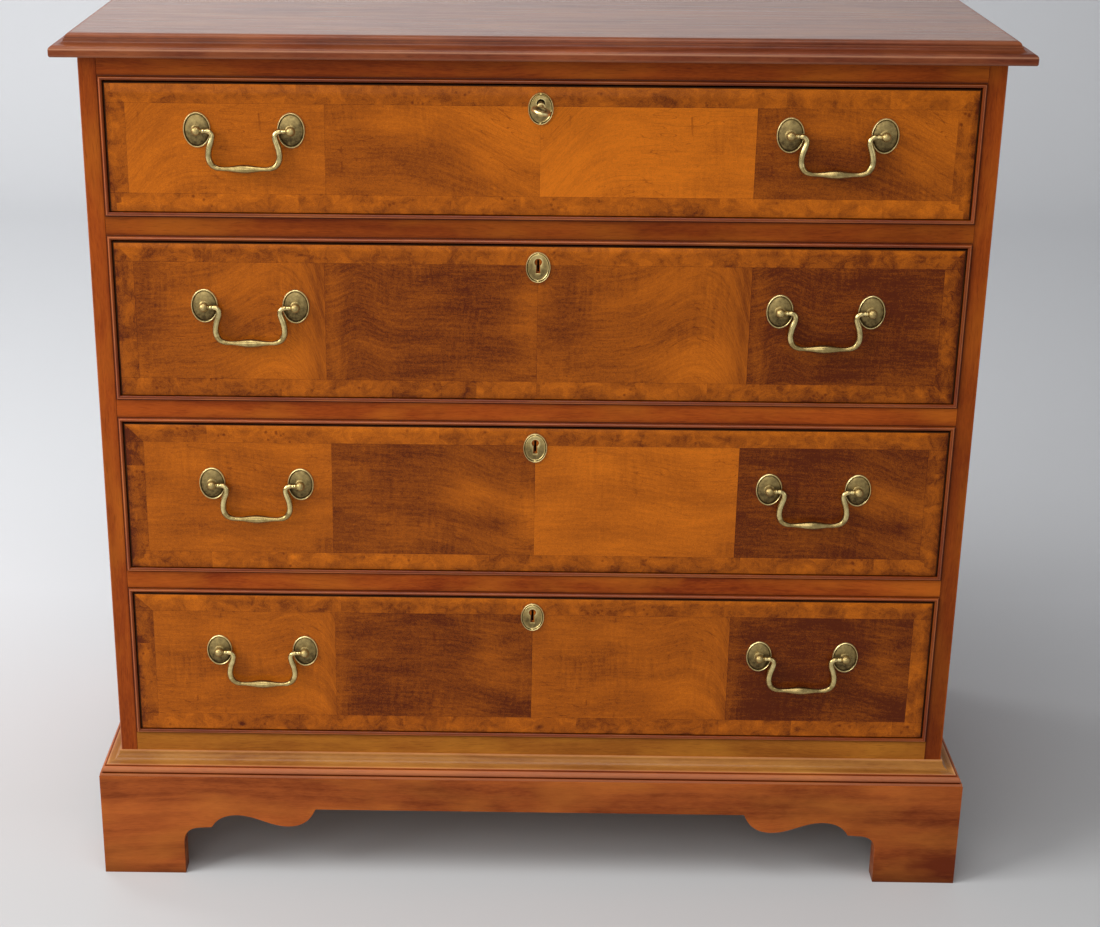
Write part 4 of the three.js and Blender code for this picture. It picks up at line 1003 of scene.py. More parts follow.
def front_veneer(number):
    """The thin sheet of veneer on one drawer front, cell by cell."""
    low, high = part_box(f"drawer_{number}_front")
    half, height = high.x - FRONT_MARGIN, high.z - FRONT_MARGIN - low.z
    edge = half - BANDING
    leaf_joint = leaf_joints[number]
    joints = [-edge, -leaf_joint, 0.0, leaf_joint, edge]
    window_half, window_up, window_down = KEY_WINDOW if number == 1 else KEY_SLIT
    key_height = high.z - low.z - KEY_DROP
    above_key = height - key_height - window_up
    marks_x = [-half, half, -window_half, window_half]
    marks_z = [0.0, height, key_height - window_down, key_height + window_up, above_key]
    for inset in (SOFT_EDGE, above_key):
        marks_x += [inset - half, half - inset]
    marks_z += [SOFT_EDGE, height - SOFT_EDGE]
    for joint in joints:
        marks_x += [joint - GLUE_LINE / 2, joint + GLUE_LINE / 2]
    for joint in (BANDING, height - BANDING):
        marks_z += [joint - GLUE_LINE / 2, joint + GLUE_LINE / 2]
    for across, up, _ in border_knots[number]:
        for share in (-1.0, -0.5, 0.0, 0.5, 1.0):
            marks_x.append(across + share * KNOT_REACH)
            marks_z.append(max(2 * SOFT_EDGE, up + share * KNOT_REACH))
    bm = bmesh.new()
    leaf_map = bm.loops.layers.uv.new("leaf")
    tones = bm.loops.layers.float.new("tone")
    lines_x, lines_z = cell_lines(sorted(marks_x)), cell_lines(sorted(marks_z))
    grid = [[bm.verts.new((x, low.y - VENEER, low.z + z)) for z in lines_z] for x in lines_x]
    for vert in grid[0] + grid[-1] + [column[end] for column in grid[1:-1] for end in (0, -1)]:
        vert.co.y += SOFT_DROP
    lengths = [band_pieces(2 * half, number), band_pieces(height, number + 4)]
    left, right, foot, top = border_shifts[number]

    def add_cell(verts):
        x = sum(vert.co.x for vert in verts) / len(verts)
        z = sum(vert.co.z for vert in verts) / len(verts) - low.z
        if abs(x) < window_half and key_height - window_down < z < key_height + window_up:
            return
        face = bm.faces.new(verts)
        from_end, from_edge = half - abs(x), min(z, height - z)
        in_banding = min(from_end, from_edge) < BANDING
        on_glue = any(abs(x - joint) < GLUE_LINE / 2 for joint in joints) and not from_edge < BANDING
        on_glue = on_glue or abs(from_edge - BANDING) < GLUE_LINE / 2
        face.material_index = 1 if in_banding else 0
        upright = from_end < from_edge
        upper, righter = z > height / 2, x > 0
        pieces = lengths[upright]
        short = band_piece(pieces, z if upright else x + half)
        if upright:
            border_shift = right if righter else left
        else:
            border_shift = top if upper else foot
        leaf = sum(x > joint for joint in joints[1:4])
        for loop in face.loops:
            across, up = loop.vert.co.x, loop.vert.co.z - low.z
            if in_banding:
                strip = DRAWER_SHIFT * number + SHORT_SHIFT * short
                strip += UPPER_SHIFT * upper + RIGHT_SHIFT * (upright and righter)
                place = (up, half - abs(across)) if upright else (across, min(up, height - up))
                tone = BAND_TONE + pieces[short][1] + border_shift
                tone -= BAND_EDGE[1] * max(0.0, 1 - (half - abs(across)) / BAND_EDGE[0])
                tone -= BAND_FOOT * max(0.0, 1 - up / BAND_EDGE[0])
                # Painted highlight along the top arris
                if up > height - 2 * SOFT_EDGE:
                    tone += ARRIS_HIGHLIGHT
                for knot, rise, strength in border_knots[number]:
                    far = math.hypot((across - knot) * KNOT_WIDENED, up - rise) / KNOT_REACH
                    tone += strength * math.exp(-(far * KNOT_SHARPNESS) ** 2)
            else:
                along_share = (across + 2 * leaf_joint) / leaf_joint - leaf
                up_share = (up - BANDING) / (height - 2 * BANDING)
                tone, rise = leaf_point(number, leaf, along_share, up_share)
                place = (along_share * leaf_joint, up - rise)
                strip = 2 * number + leaf % 2
            loop[leaf_map].uv = (place[0] + STRIP_SHIFT[0] * strip, place[1] + STRIP_SHIFT[1] * strip)
            loop[tones] = tone - (GLUE_DARK if on_glue else 0.0)

    for column in range(len(lines_x) - 1):
        for row in range(len(lines_z) - 1):
            near, far = grid[column], grid[column + 1]
            cell = [near[row], far[row], far[row + 1], near[row + 1]]
            x = (cell[0].co.x + cell[2].co.x) / 2
            z = (cell[0].co.z + cell[2].co.z) / 2 - low.z
            from_end, from_edge = half - abs(x), min(z, height - z)
            on_mitre = abs(from_end - from_edge) < CELL / 8 and from_end < BANDING
            rising = (x > 0) == (z > height / 2)
            if on_mitre:
                add_cell([cell[0], cell[1], cell[2 if rising else 3]])
                add_cell([cell[0 if rising else 1], cell[2], cell[3]])
            else:
                add_cell(cell)
    back = bmesh.ops.extrude_face_region(bm, geom=list(bm.faces))
    moved = [item for item in back["geom"] if isinstance(item, bmesh.types.BMVert)]
    for vert in moved:
        vert.co.y = low.y - HAIR
    return bm


# The ground is near black: a painted shadow in the gap round each drawer front, under the cock beads
SHADOW_GROUND_DEEP = (0.020, 0.006, 0.002, 1)
SHADOW_GROUND_PALE = (0.060, 0.018, 0.005, 1)
shadow_ground = timber("shadow_ground_edge", SHADOW_GROUND_DEEP, SHADOW_GROUND_PALE, 0, 0.0)

for number in (1, 2, 3, 4):
    refinish(f"drawer_{number}_front", shadow_ground)
    piece(
        f"drawer_{number}_veneer", front_veneer(number), [leaf_veneer, burr_veneer],
        f"drawer_{number}", None,
    )

# The pulls
# Cast and turned brass, gone olive with age. Each post has an oval rosette behind it, a shank
# through the drawer front and a nut inside; the swan-neck bail swings in blind holes of the balls.
BRASS_DEEP = (0.080, 0.052, 0.022, 1)
BRASS_OLIVE = (0.430, 0.310, 0.118, 1)
BRASS_PALE = (0.920, 0.760, 0.350, 1)
PIVOT_PROUD = 0.007
BALL_RADIUS = 0.0046
SHANK_RADIUS = 0.0024
SHANK_STEPS = 16
NUT_SIDES = 6
NUT_RADIUS = 0.006
NUT_THICKNESS = 0.004
THREAD_SHOWN = 0.0015
POST_SPAN = 0.0889
TURNED_STEPS = 48
# Painted sheen on a rosette's upper half and painted shade on its lower half
ROSETTE_SHEEN_AND_SHADE = 0.13
POST_STEPS = 32
BALL_START = 6
BALL_WEAR = (0.24, 0.28)
BALL_TIP = 0.6
NUT_BEVEL = 0.12
BLOOM_SCALE = 260.0
BLOOM_SPAN = (0.3, 0.7, -0.14, 0.14)
SPECK_SCALE = 1400.0
SPECK_SPAN = (0.3, 0.7, -0.06, 0.06)
BRASS_RELIEF = (0.08, 0.0003)
# Points of the turned profiles: radius, or share of the oval, how far forwards, and wear
rosette_profile = (
    (0.0, 0.0025, 0.26), (0.3, 0.0024, 0.26), (0.6, 0.0020, 0.24), (0.80, 0.0015, 0.2),
    (0.84, 0.0012, 0.1), (0.865, 0.0008, 0.0), (0.88, 0.0008, 0.0), (0.895, 0.0014, 0.4),
    (0.91, 0.0019, 0.9), (0.93, 0.0022, 1.0), (0.95, 0.0022, 1.0), (0.97, 0.0019, 0.9),
    (0.985, 0.0013, 0.6), (0.995, 0.0008, 0.3), (1.0, 0.0004, 0.1), (1.0, 0.0, 0.1), (0.0, 0.0, 0.1),
)
post_profile = [
    (0.0, 0.0010, 0.3), (0.0054, 0.0012, 0.3), (0.0053, 0.0026, 0.3), (0.0047, 0.0031, 0.35),
    (0.0036, 0.0034, 0.2), (0.0034, 0.0037, 0.2),
]
for step in range(BALL_START, 2 * ROUND_STEPS):
    share = step / (2 * ROUND_STEPS)
    proud = PIVOT_PROUD - BALL_RADIUS * math.cos(math.pi * share)
    wear_and_sheen = BALL_WEAR[0] + BALL_WEAR[1] * share
    post_profile.append((BALL_RADIUS * math.sin(math.pi * share), proud, wear_and_sheen))
post_profile.append((0.0, PIVOT_PROUD + BALL_RADIUS, BALL_TIP))


def old_brass(name, deep, middle, pale, rough):
    """Brass: brown where the attribute of wear and painted sheen is low, olive in the middle and bright
    where it is high.
    """
    material, tree = new_material(name)
    place = wood_place(tree)
    wear_and_sheen = wire(tree, "Attribute", {}, attribute_name="wear_and_sheen").outputs["Fac"]
    bloom = wire(tree, "TexNoise", {"Vector": place, "Scale": BLOOM_SCALE, "Detail": 4.0}).outputs[0]
    speck = wire(tree, "TexNoise", {"Vector": place, "Scale": SPECK_SCALE, "Detail": 2.0}).outputs[0]
    share = number_math(tree, "ADD", wear_and_sheen, spread(tree, bloom, *BLOOM_SPAN))
    share = number_math(tree, "ADD", share, spread(tree, speck, *SPECK_SPAN))
    colour = dye(tree, spread(tree, share, 0.0, 0.5), deep, middle)
    colour = dye(tree, spread(tree, share, 0.5, 1.0), colour, pale)
    roughness = spread(tree, share, 0.0, 1.0, rough[1], rough[0])
    surface(tree, colour, roughness, bloom, *BRASS_RELIEF).inputs["Metallic"].default_value = 1.0
    return material


brass = old_brass("old_brass", BRASS_DEEP, BRASS_OLIVE, BRASS_PALE, (0.38, 0.48))
bail_brass = old_brass("bail_brass", BRASS_DEEP, BRASS_OLIVE, BRASS_PALE, (0.16, 0.34))


def wear_and_sheen_layer(bm):
    return bm.verts.layers.float.get("wear_and_sheen") or bm.verts.layers.float.new("wear_and_sheen")


def add_turned(bm, profile, centre, steps=TURNED_STEPS, width=1.0, height=1.0, sheen_and_shade=0.0):
    """A turned piece about an axis that runs front to back, with a painted sheen added above and a
    painted shade taken off below by the last argument.
    """
    wear_and_sheen = wear_and_sheen_layer(bm)
    rings = []
    for radius, proud, polish in profile:
        ring = []
        for step in range(steps if radius else 1):
            turn = 2 * math.pi * step / steps
            spot = Vector((radius * width * math.sin(turn), -proud, radius * height * math.cos(turn)))
            vert = bm.verts.new(centre + spot)
            vert[wear_and_sheen] = polish + sheen_and_shade * math.cos(turn)
            ring.append(vert)
        rings.append(ring)
    for first, second in zip(rings, rings[1:]):
        for step in range(steps):
            after = (step + 1) % steps
            loop = [first[step % len(first)], first[after % len(first)]]
            loop += [second[after % len(second)], second[step % len(second)]]
            corners = list(dict.fromkeys(loop))
            if len(corners) > 2:
                bm.faces.new(corners)


def add_nut(bm, centre, depth):
    """The nut and the threaded end of the shank, inside the drawer."""
    for radius, steps, start, end in (
        (NUT_RADIUS, NUT_SIDES, depth, depth + NUT_THICKNESS),
        (SHANK_RADIUS, SHANK_STEPS, depth + NUT_THICKNESS, depth + NUT_THICKNESS + THREAD_SHOWN),
    ):
        bevel = radius * NUT_BEVEL
        profile = ((0.0, -start, 0.3), (radius - bevel, -start, 0.3), (radius, -start - bevel, 0.6))
        profile += ((radius, -end + bevel, 0.6), (radius - bevel, -end, 0.5), (0.0, -end, 0.4))
        add_turned(bm, profile, centre, steps)


PIVOT_HIGH = 0.0019
# The line of the bail's left half: shares of the half span, and of the drop
bail_shares = (
    (0.82, 0.0), (0.72, -0.015), (0.67, -0.09), (0.672, -0.2), (0.72, -0.38), (0.755, -0.58),
    (0.745, -0.76), (0.67, -0.92), (0.53, -0.99), (0.35, -1.0), (0.15, -1.0),
)
BAIL_DROP = 0.036
NECK_RADIUS = 0.0020
BEND_RADIUS = 0.0025
LIMB_RADIUS = 0.0031
GRIP_RADIUS = 0.0041
# The grip is painted darker, a painted shade; the bar's front takes a painted highlight and its back
# painted shade
GRIP_SHADE = 0.24
GRIP_LEVEL = -0.8
BAIL_SHINE = 0.26
BAIL_FRONT_HIGHLIGHT = 0.50
BAIL_BACK_SHADE = 0.16
PIVOT_RADIUS = 0.0018
PIVOT_ENGAGED = 0.0032
PIVOT_RING = 0.0016
grip_reach_share = 0.44
BAIL_RINGS = 200
BAIL_SIDES = 18
CURVE_STEPS = 12
# How thick the bail is, at shares of the way from the pivot to its middle
bar_shares = (
    (0.12, BEND_RADIUS), (0.32, LIMB_RADIUS), (0.52, LIMB_RADIUS), (0.66, BEND_RADIUS),
    (0.73, NECK_RADIUS),
)


def catmull_rom(points, count):
    """A centripetal curve through the points, at even steps of its length."""
    knots = [0.0]
    for first, second in zip(points, points[1:]):
        knots.append(knots[-1] + math.sqrt((second - first).length))
    padded = [2 * points[0] - points[1]] + points + [2 * points[-1] - points[-2]]
    times = [2 * knots[0] - knots[1]] + knots + [2 * knots[-1] - knots[-2]]
    dense = []
    for index in range(1, len(padded) - 2):
        for step in range(CURVE_STEPS):
            time = times[index] + (times[index + 1] - times[index]) * step / CURVE_STEPS
            layer = padded[index - 1:index + 3]
            stamps = times[index - 1:index + 3]
            for depth in (1, 2, 3):
                layer = [
                    layer[k].lerp(layer[k + 1], (time - stamps[k]) / (stamps[k + depth] - stamps[k]))
                    for k in range(len(layer) - 1)
                ]
            dense.append(layer[0])
    dense.append(points[-1])
    lengths = [0.0]
    for first, second in zip(dense, dense[1:]):
        lengths.append(lengths[-1] + (second - first).length)
    even = []
    spot = 0
    for step in range(count + 1):
        wanted = lengths[-1] * step / count
        while spot < len(dense) - 2 and lengths[spot + 1] < wanted:
            spot += 1
        share = (wanted - lengths[spot]) / (lengths[spot + 1] - lengths[spot])
        even.append(dense[spot].lerp(dense[spot + 1], share))
    return even


def bar_radius(walked, point, half_length):
    """Thin at the pivots and on both sides of the grip, thicker in the limbs and the grip."""
    reach = POST_SPAN / 2 * grip_reach_share
    if abs(point.x) < reach and point.z < -BAIL_DROP / 2:
        swell = math.cos(point.x / reach * math.pi / 2) ** 2
        return NECK_RADIUS + (GRIP_RADIUS - NECK_RADIUS) * swell
    if walked < PIVOT_ENGAGED:
        return PIVOT_RADIUS
    if walked < PIVOT_ENGAGED + 2 * PIVOT_RING:
        turn = (walked - PIVOT_ENGAGED) / PIVOT_RING * math.pi
        return PIVOT_RADIUS + (LIMB_RADIUS - PIVOT_RADIUS) * abs(math.sin(turn)) / 2
    share = walked / half_length
    last_share, last_radius = (PIVOT_ENGAGED + 2 * PIVOT_RING) / half_length, PIVOT_RADIUS
    for next_share, radius in bar_shares:
        if share < next_share:
            turn = (share - last_share) / (next_share - last_share) * math.pi
            return last_radius + (radius - last_radius) * (1 - math.cos(turn)) / 2
        last_share, last_radius = next_share, radius
    return NECK_RADIUS


def bail_mesh(centre):
    """The bail's round bar."""
    half = POST_SPAN / 2
    end = half - BALL_RADIUS + PIVOT_ENGAGED
    left = [Vector((-x * half, 0, z * BAIL_DROP)) for x, z in bail_shares]
    left = [Vector((-end, 0, 0)), Vector((-(end + half * bail_shares[0][0]) / 2, 0, 0))] + left
    right = [Vector((-point.x, 0, point.z)) for point in reversed(left)]
    line = catmull_rom(left + right, BAIL_RINGS)
    half_length = sum((second - first).length for first, second in zip(line, line[1:])) / 2
    bm = bmesh.new()
    wear_and_sheen = wear_and_sheen_layer(bm)
    rings = []
    for index, point in enumerate(line):
        before, after = line[max(index - 1, 0)], line[min(index + 1, BAIL_RINGS)]
        tangent = (after - before).normalized()
        normal = Vector((-tangent.z, 0, tangent.x))
        walked = 2 * half_length * min(index, BAIL_RINGS - index) / BAIL_RINGS
        radius = bar_radius(walked, point, half_length)
        ring = []
        for step in range(BAIL_SIDES):
            turn = 2 * math.pi * step / BAIL_SIDES
            spot = radius * (math.cos(turn) * normal + math.sin(turn) * FORWARDS)
            vert = bm.verts.new(centre + point + spot)
            # A painted highlight on the bar's front, painted shade at its back, and a darker grip
            grip_shade = GRIP_SHADE if point.z < GRIP_LEVEL * BAIL_DROP else 0.0
            vert[wear_and_sheen] = max(BAIL_BACK_SHADE, BAIL_SHINE + BAIL_FRONT_HIGHLIGHT * math.sin(turn) - grip_shade)
            ring.append(vert)
        rings.append(ring)
    add_closed(bm, rings)
    return bm


for number in (1, 2, 3, 4):
    for side in ("left", "right"):
        prefix = f"drawer_{number}_{side}"
        for place in ("outer", "inner"):
            low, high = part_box(f"{prefix}_post_{place}")
            centre = Vector(((low.x + high.x) / 2, CASE_FRONT, (low.z + high.z) / 2))
            bm = bmesh.new()
            oval = (high.x - low.x) / 2, (high.z - low.z) / 2
            add_turned(bm, rosette_profile, centre, TURNED_STEPS, *oval, ROSETTE_SHEEN_AND_SHADE)
            add_turned(bm, post_profile, centre, POST_STEPS)
            add_nut(bm, centre, front_high.y - front_low.y)
            node = f"{prefix}_post_{place}"
            piece(f"{prefix}_{place}_post_brass", bm, [brass], f"drawer_{number}", node)
        low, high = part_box(f"{prefix}_bail")
        pivot = Vector(((low.x + high.x) / 2, CASE_FRONT - PIVOT_PROUD, high.z - PIVOT_HIGH))
        node = f"{prefix}_bail"
        piece(f"{prefix}_bail_brass", bail_mesh(pivot), [bail_brass], node, node)

# The escutcheons
# Oval plates of cast brass with a raised double rim and a pierced keyhole, one over each lock. Two
# small brass pins hold each of them to the veneer, one near its top and one near its foot.
KEYHOLE_RADIUS = 0.0036
KEYHOLE_LENGTH = 0.011
KEYHOLE_WAIST = 0.0032
KEYHOLE_FOOT = 0.0046
ESCUTCHEON_BELOW_KEY = 0.0052
PLATE_STEPS = 96
PIN_RADIUS = 0.0010
PIN_STEPS = 16
PIN_SHARE = 0.885
PLATE_SPREAD = 0.0008
# Painted sheen on a plate's upper half and painted shade on its lower half
PLATE_SHEEN_AND_SHADE = 0.20
WAIST_TURN = math.asin(KEYHOLE_WAIST / 2 / KEYHOLE_RADIUS)
FOOT_TURN = math.atan2(KEYHOLE_FOOT / 2, KEYHOLE_LENGTH)
# Points of the plate: share of the way from the keyhole to the rim, or of the oval, height and wear
plate_field = (
    (0.0, 0.0, 0.1), (0.0, 0.0007, 0.4), (0.06, 0.0010, 0.8), (0.4, 0.0010, 0.42), (0.8, 0.0009, 0.40),
)
plate_rim = (
    (0.79, 0.0009, 0.5), (0.81, 0.0012, 0.8), (0.83, 0.0014, 1.0), (0.85, 0.0011, 0.5),
    (0.87, 0.0007, 0.05), (0.89, 0.0007, 0.0), (0.91, 0.0011, 0.5), (0.935, 0.0016, 1.0),
    (0.96, 0.0017, 1.0), (0.985, 0.0012, 0.8), (1.0, 0.0006, 0.5), (1.0, 0.0, 0.3),
)
pin_profile = (
    (0.0, 0.0003, 0.2), (PIN_RADIUS, 0.0003, 0.2), (PIN_RADIUS, 0.0010, 0.6),
    (PIN_RADIUS * 0.6, 0.0015, 1.0), (0.0, 0.0017, 1.0),
)


def keyhole_reach(turn):
    """How far the keyhole's edge lies from the key's axis, in a direction."""
    across, up = math.sin(turn), math.cos(turn)
    if up > 0 or abs(math.atan2(across, -up)) > WAIST_TURN:
        return KEYHOLE_RADIUS
    slope = abs(across / up)
    top = KEYHOLE_RADIUS * math.cos(WAIST_TURN)
    lean = (KEYHOLE_FOOT - KEYHOLE_WAIST) / 2 / (KEYHOLE_LENGTH - top)
    foot = KEYHOLE_FOOT / 2 / KEYHOLE_LENGTH
    if slope < foot:
        return KEYHOLE_LENGTH / -up
    down = (KEYHOLE_WAIST / 2 - lean * top) / (slope - lean)
    return down / -up


def oval_reach(turn, half_width, half_height):
    """How far an oval about the plate's middle lies from the key's axis, in a direction."""
    across, up = math.sin(turn), math.cos(turn)
    square = (across / half_width) ** 2 + (up / half_height) ** 2
    linear = up * ESCUTCHEON_BELOW_KEY / half_height ** 2
    inside = (ESCUTCHEON_BELOW_KEY / half_height) ** 2 - 1
    return (-linear + math.sqrt(linear ** 2 - square * inside)) / square


def escutcheon_mesh(key_axis, half_width, half_height):
    """Rings that run from the keyhole's edge out to the oval rim, and two pins."""
    bm = bmesh.new()
    wear_and_sheen = wear_and_sheen_layer(bm)
    turns = [2 * math.pi * step / PLATE_STEPS for step in range(PLATE_STEPS)]
    turns += [math.pi + sign * turn for sign in (-1, 1) for turn in (WAIST_TURN, FOOT_TURN)]
    columns = []
    for turn in sorted(turns):
        inner = keyhole_reach(turn)
        first = plate_rim[0][0]
        outer = oval_reach(turn, half_width * first, half_height * first)
        column = []
        for share, proud, polish in plate_field:
            column.append((inner + (outer - inner) * share, proud, polish))
        for share, proud, polish in plate_rim:
            column.append((oval_reach(turn, half_width * share, half_height * share), proud, polish))
        verts = []
        for reach, proud, polish in column:
            spot = Vector((math.sin(turn) * reach, -VENEER - proud, math.cos(turn) * reach))
            vert = bm.verts.new(key_axis + spot)
            # Painted sheen above the key, painted shade below it
            vert[wear_and_sheen] = polish + PLATE_SHEEN_AND_SHADE * math.cos(turn)
            verts.append(vert)
        columns.append(verts)
    add_skin(bm, columns, closed=True)
    for sign in (-1, 1):
        drop = sign * half_height * PIN_SHARE - ESCUTCHEON_BELOW_KEY
        add_turned(bm, pin_profile, key_axis + Vector((0, -VENEER, drop)), PIN_STEPS)
    return bm


for number in (1, 2, 3, 4):
    node = f"drawer_{number}_escutcheon"
    low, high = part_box(f"drawer_{number}_escutcheon")
    axis_height = (low.z + high.z) / 2 + ESCUTCHEON_BELOW_KEY
    half_width = (high.x - low.x) / 2 + PLATE_SPREAD
    mesh = escutcheon_mesh(Vector((0, CASE_FRONT, axis_height)), half_width, (high.z - low.z) / 2)
    piece(f"{node}_brass", mesh, [brass], f"drawer_{number}", node)

# The locks
# Brass drawer locks with a flat back plate, let into the back of each front. The top one's bolt is
# a piece of its own, because the key throws it.
LOCK_MIDDLE = (0.22, 0.165, 0.08, 1)
LOCK_PALE = (0.34, 0.26, 0.13, 1)
lock_brass = old_brass("lock_brass", BRASS_DEEP, LOCK_MIDDLE, LOCK_PALE, (0.38, 0.6))
for number in (1, 2, 3, 4):
    refinish(f"drawer_{number}_lock", lock_brass)
refinish("drawer_1_lock_bolt", lock_brass)

# The key
# A small brass key with a bored barrel, a turned collar and an oval bow, left in the top lock. It
# leans a little, so the bow's left side stands higher, and its bow sags in the loose keyhole.
key_brass = old_brass("key_brass", BRASS_DEEP, BRASS_OLIVE, BRASS_PALE, (0.36, 0.55))
KEY_SAG = 0.055
KEY_TILT = math.radians(14)
KEY_REACH = 0.043
BARREL_RADIUS = 0.003
BIT_REACH = 0.0095
BIT_LENGTH = 0.005
BIT_THICKNESS = 0.0024
BIT_FRONT = 0.0126
BARREL_END = 0.0201
BOW_WIDTH = 0.0185
BOW_LENGTH = 0.023
BOW_METAL = 0.0044
BOW_THICKNESS = 0.0032
BOW_STEPS = 64
BOW_SIDES = 16
BOW_WEAR = (0.55, 0.45)
BIT_ROOT = 0.0005
END_BEVEL = 0.0004
BORE_RADIUS = 0.0017
BORE_DEPTH = 0.013
bow_round_share = 0.6
# The collar behind the bow: radius, distance from the bow's foot, and wear
collar_profile = (
    (0.0, 0.0015, 0.8), (0.0016, 0.0012, 0.8), (0.0024, -0.0004, 0.7), (0.0030, -0.0014, 0.5),
    (0.0040, -0.0017, 0.9), (0.0042, -0.0025, 1.0), (0.0040, -0.0034, 0.9), (0.0031, -0.0039, 0.2),
    (0.0026, -0.0050, 0.1),
)


def squared(value):
    """Makes a round section a little squarer."""
    return math.copysign(abs(value) ** bow_round_share, value)


def key_mesh(axis):
    """Barrel, bit and bow, tilted and sagging about the keyhole."""
    bm = bmesh.new()
    wear_and_sheen = wear_and_sheen_layer(bm)
    root = KEY_REACH - BOW_LENGTH
    bore_end = BORE_DEPTH - BARREL_END
    profile = [(radius, root + far, polish) for radius, far, polish in collar_profile]
    profile += [(0.0026, 0.0020, 0.0), (BARREL_RADIUS, 0.0, 0.1)]
    profile += [(BARREL_RADIUS, END_BEVEL - BARREL_END, 0.6)]
    profile += [(BARREL_RADIUS - END_BEVEL, -BARREL_END, 0.6)]
    profile += [(BORE_RADIUS, -BARREL_END, 0.3), (BORE_RADIUS, bore_end, 0.1), (0.0, bore_end, 0.1)]
    add_turned(bm, profile, Vector((0, 0, 0)), POST_STEPS)
    half = BIT_THICKNESS / 2
    bit_low = (BARREL_RADIUS - BIT_ROOT, BIT_FRONT, -half)
    add_block(bm, bit_low, (BIT_REACH, BIT_FRONT + BIT_LENGTH, half))
    rings = []
    for step in range(BOW_STEPS):
        turn = 2 * math.pi * step / BOW_STEPS
        across, ahead = math.cos(turn), math.sin(turn)
        outwards = Vector((across * BOW_LENGTH, ahead * BOW_WIDTH, 0)).normalized()
        centre = Vector((across * (BOW_WIDTH - BOW_METAL) / 2, ahead * (BOW_LENGTH - BOW_METAL) / 2, 0))
        centre.y += BOW_LENGTH / 2 - KEY_REACH
        ring = []
        for side in range(BOW_SIDES):
            lean = 2 * math.pi * side / BOW_SIDES
            wide, thick = squared(math.cos(lean)), squared(math.sin(lean))
            spot = outwards * (BOW_METAL / 2 * wide) + Vector((0, 0, BOW_THICKNESS / 2 * thick))
            vert = bm.verts.new(centre + spot)
            vert[wear_and_sheen] = BOW_WEAR[0] + BOW_WEAR[1] * math.cos(lean)
            ring.append(vert)
        rings.append(ring)
    add_skin(bm, rings, closed=True)
    bm.transform(Matrix.Rotation(KEY_TILT, 4, "Y"))
    for vert in bm.verts:
        vert.co.z -= KEY_SAG * max(0.0, -vert.co.y)
    bm.transform(Matrix.Translation(axis))
    return bm


low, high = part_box("drawer_1_front")
key_axis = Vector((0, CASE_FRONT, high.z - KEY_DROP))
piece("drawer_1_key_brass", key_mesh(key_axis), [key_brass], "drawer_1_key", "drawer_1_key")

# The room for the picture
# A plain pale floor that curves up into a pale backdrop. A large soft lamp stands on the left, weaker
# ones in front, on the right and above, and one lights the backdrop. The camera stands as in the photo.
FLOOR_TONE = (0.585, 0.590, 0.592, 1)
WALL_TONE = (0.770, 0.779, 0.799, 1)
FLOOR_TURN = (-0.1, 0.5)
FLOOR_HALF = 4.0
BACKDROP_BEHIND = 2.7
BACKDROP_CURVE = 0.5
BACKDROP_HEIGHT = 3.2
FLOOR_ROUGHNESS = 0.7
SKY_COLOUR = (0.95, 0.97, 1.0, 1)
WORLD_LIGHT = 0.13
WORLD_SEEN = 0.45
# Each lamp's place, the spot it points at, its size and its power
lamps = {
    "window_left": ((-2.8, -1.3, 2.0), (0, 0, 0.5), (1.8, 1.8), 88),
    "window_front": ((-0.9, -3.4, 1.7), (0, 0, 0.4), (3.0, 2.4), 33),
    "window_right": ((2.7, -2.2, 1.3), (0, 0, 0.45), (1.6, 1.6), 6),
    "ceiling": ((-0.5, -0.9, 3.0), (0, -0.1, 0.3), (2.8, 1.2), 36),
    "backdrop_lamp": ((-1.8, 1.2, 2.6), (-1.4, 2.7, 0.1), (1.6, 0.8), 22),
}
floor_profile = [(-FLOOR_HALF, 0.0)]
for step in range(ROUND_STEPS + 1):
    turn = math.pi / 2 * step / ROUND_STEPS
    floor_profile.append((
        BACKDROP_BEHIND + BACKDROP_CURVE * math.sin(turn), BACKDROP_CURVE * (1 - math.cos(turn)),
    ))
floor_profile.append((BACKDROP_BEHIND + BACKDROP_CURVE, BACKDROP_HEIGHT))
bm = bmesh.new()
rows = [[bm.verts.new((x, y, z)) for y, z in floor_profile] for x in (-FLOOR_HALF, FLOOR_HALF)]
for index in range(len(floor_profile) - 1):
    bm.faces.new([rows[0][index], rows[1][index], rows[1][index + 1], rows[0][index + 1]])
floor_paint, paint = new_material("floor_paint")
# Painted light: the floor is painted paler towards the back and up the backdrop, where the lamps light
# it less
floor_depth = wire(paint, "SeparateXYZ", {0: wire(paint, "TexCoord", {}).outputs["Object"]}).outputs[1]
floor_colour = dye(paint, spread(paint, floor_depth, *FLOOR_TURN), FLOOR_TONE, WALL_TONE)
paint.links.new(floor_colour, paint.nodes["Principled BSDF"].inputs["Base Color"])
paint.nodes["Principled BSDF"].inputs["Roughness"].default_value = FLOOR_ROUGHNESS
floor = new_object("floor", bm, [floor_paint])
for name, (place, aim, size, power) in lamps.items():
    light = bpy.data.lights.new(name, "AREA")
    light.shape = "RECTANGLE"
    light.size, light.size_y = size
    light.energy = power
    made = bpy.data.objects.new(name, light)
    made.location = place
    made.rotation_euler = (Vector(aim) - Vector(place)).to_track_quat("-Z", "Y").to_euler()
    bpy.context.collection.objects.link(made)
world = bpy.data.worlds.new("room")
world.use_nodes = True
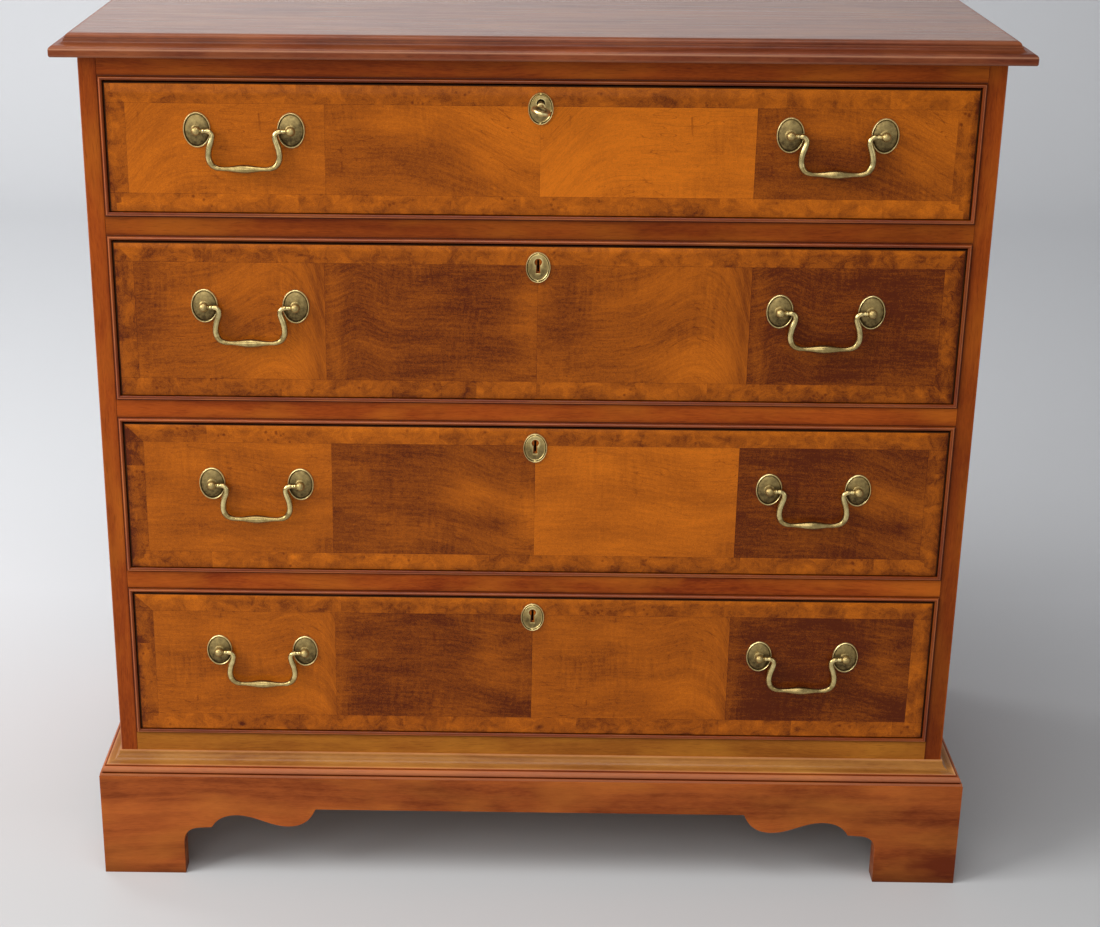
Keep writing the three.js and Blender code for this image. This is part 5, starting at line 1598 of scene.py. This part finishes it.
sky = world.node_tree
background = sky.nodes["Background"]
background.inputs["Color"].default_value = SKY_COLOUR
ray = wire(sky, "LightPath", {})
seen = number_math(sky, "MAXIMUM", ray.outputs["Is Camera Ray"], ray.outputs["Is Glossy Ray"])
seen = number_math(sky, "MAXIMUM", seen, ray.outputs["Is Transmission Ray"])
sky.links.new(spread(sky, seen, 0.0, 1.0, WORLD_LIGHT, WORLD_SEEN), background.inputs["Strength"])
bpy.context.scene.world = world

# The camera that took the photo, solved from the straight edges of the case. Its lens is given in
# pixels of the photo.
CAMERA_PLACE = (-0.0276, -1.8888 + CASE_FRONT, 1.1825)
CAMERA_YAW = -0.012
CAMERA_PITCH = 0.363
CAMERA_ROLL = 0.007
PHOTO_WIDTH = 1100
FOCAL_PIXELS = 2020.16
AXIS_PIXEL = 484.66
DROP_PIXELS = 0.9
SENSOR = 36.0
CLIP_END = 50
heading = Vector((
    math.sin(CAMERA_YAW) * math.cos(CAMERA_PITCH),
    math.cos(CAMERA_YAW) * math.cos(CAMERA_PITCH),
    -math.sin(CAMERA_PITCH),
))
level = Vector((math.cos(CAMERA_YAW), -math.sin(CAMERA_YAW), 0))
upright = level.cross(heading)
across = math.cos(CAMERA_ROLL) * level + math.sin(CAMERA_ROLL) * upright
upright = -math.sin(CAMERA_ROLL) * level + math.cos(CAMERA_ROLL) * upright
camera_data = bpy.data.cameras.new("camera")
camera_data.sensor_width = SENSOR
camera_data.lens = FOCAL_PIXELS / PHOTO_WIDTH * SENSOR
camera_data.shift_x = (PHOTO_WIDTH / 2 - AXIS_PIXEL) / PHOTO_WIDTH
camera_data.shift_y = DROP_PIXELS / PHOTO_WIDTH
camera_data.clip_end = CLIP_END
camera = bpy.data.objects.new("camera", camera_data)
turned = Matrix((across, upright, -heading)).transposed().to_4x4()
camera.matrix_world = Matrix.Translation(CAMERA_PLACE) @ turned
bpy.context.collection.objects.link(camera)
bpy.context.scene.camera = camera
bpy.context.scene.view_settings.view_transform = "Standard"
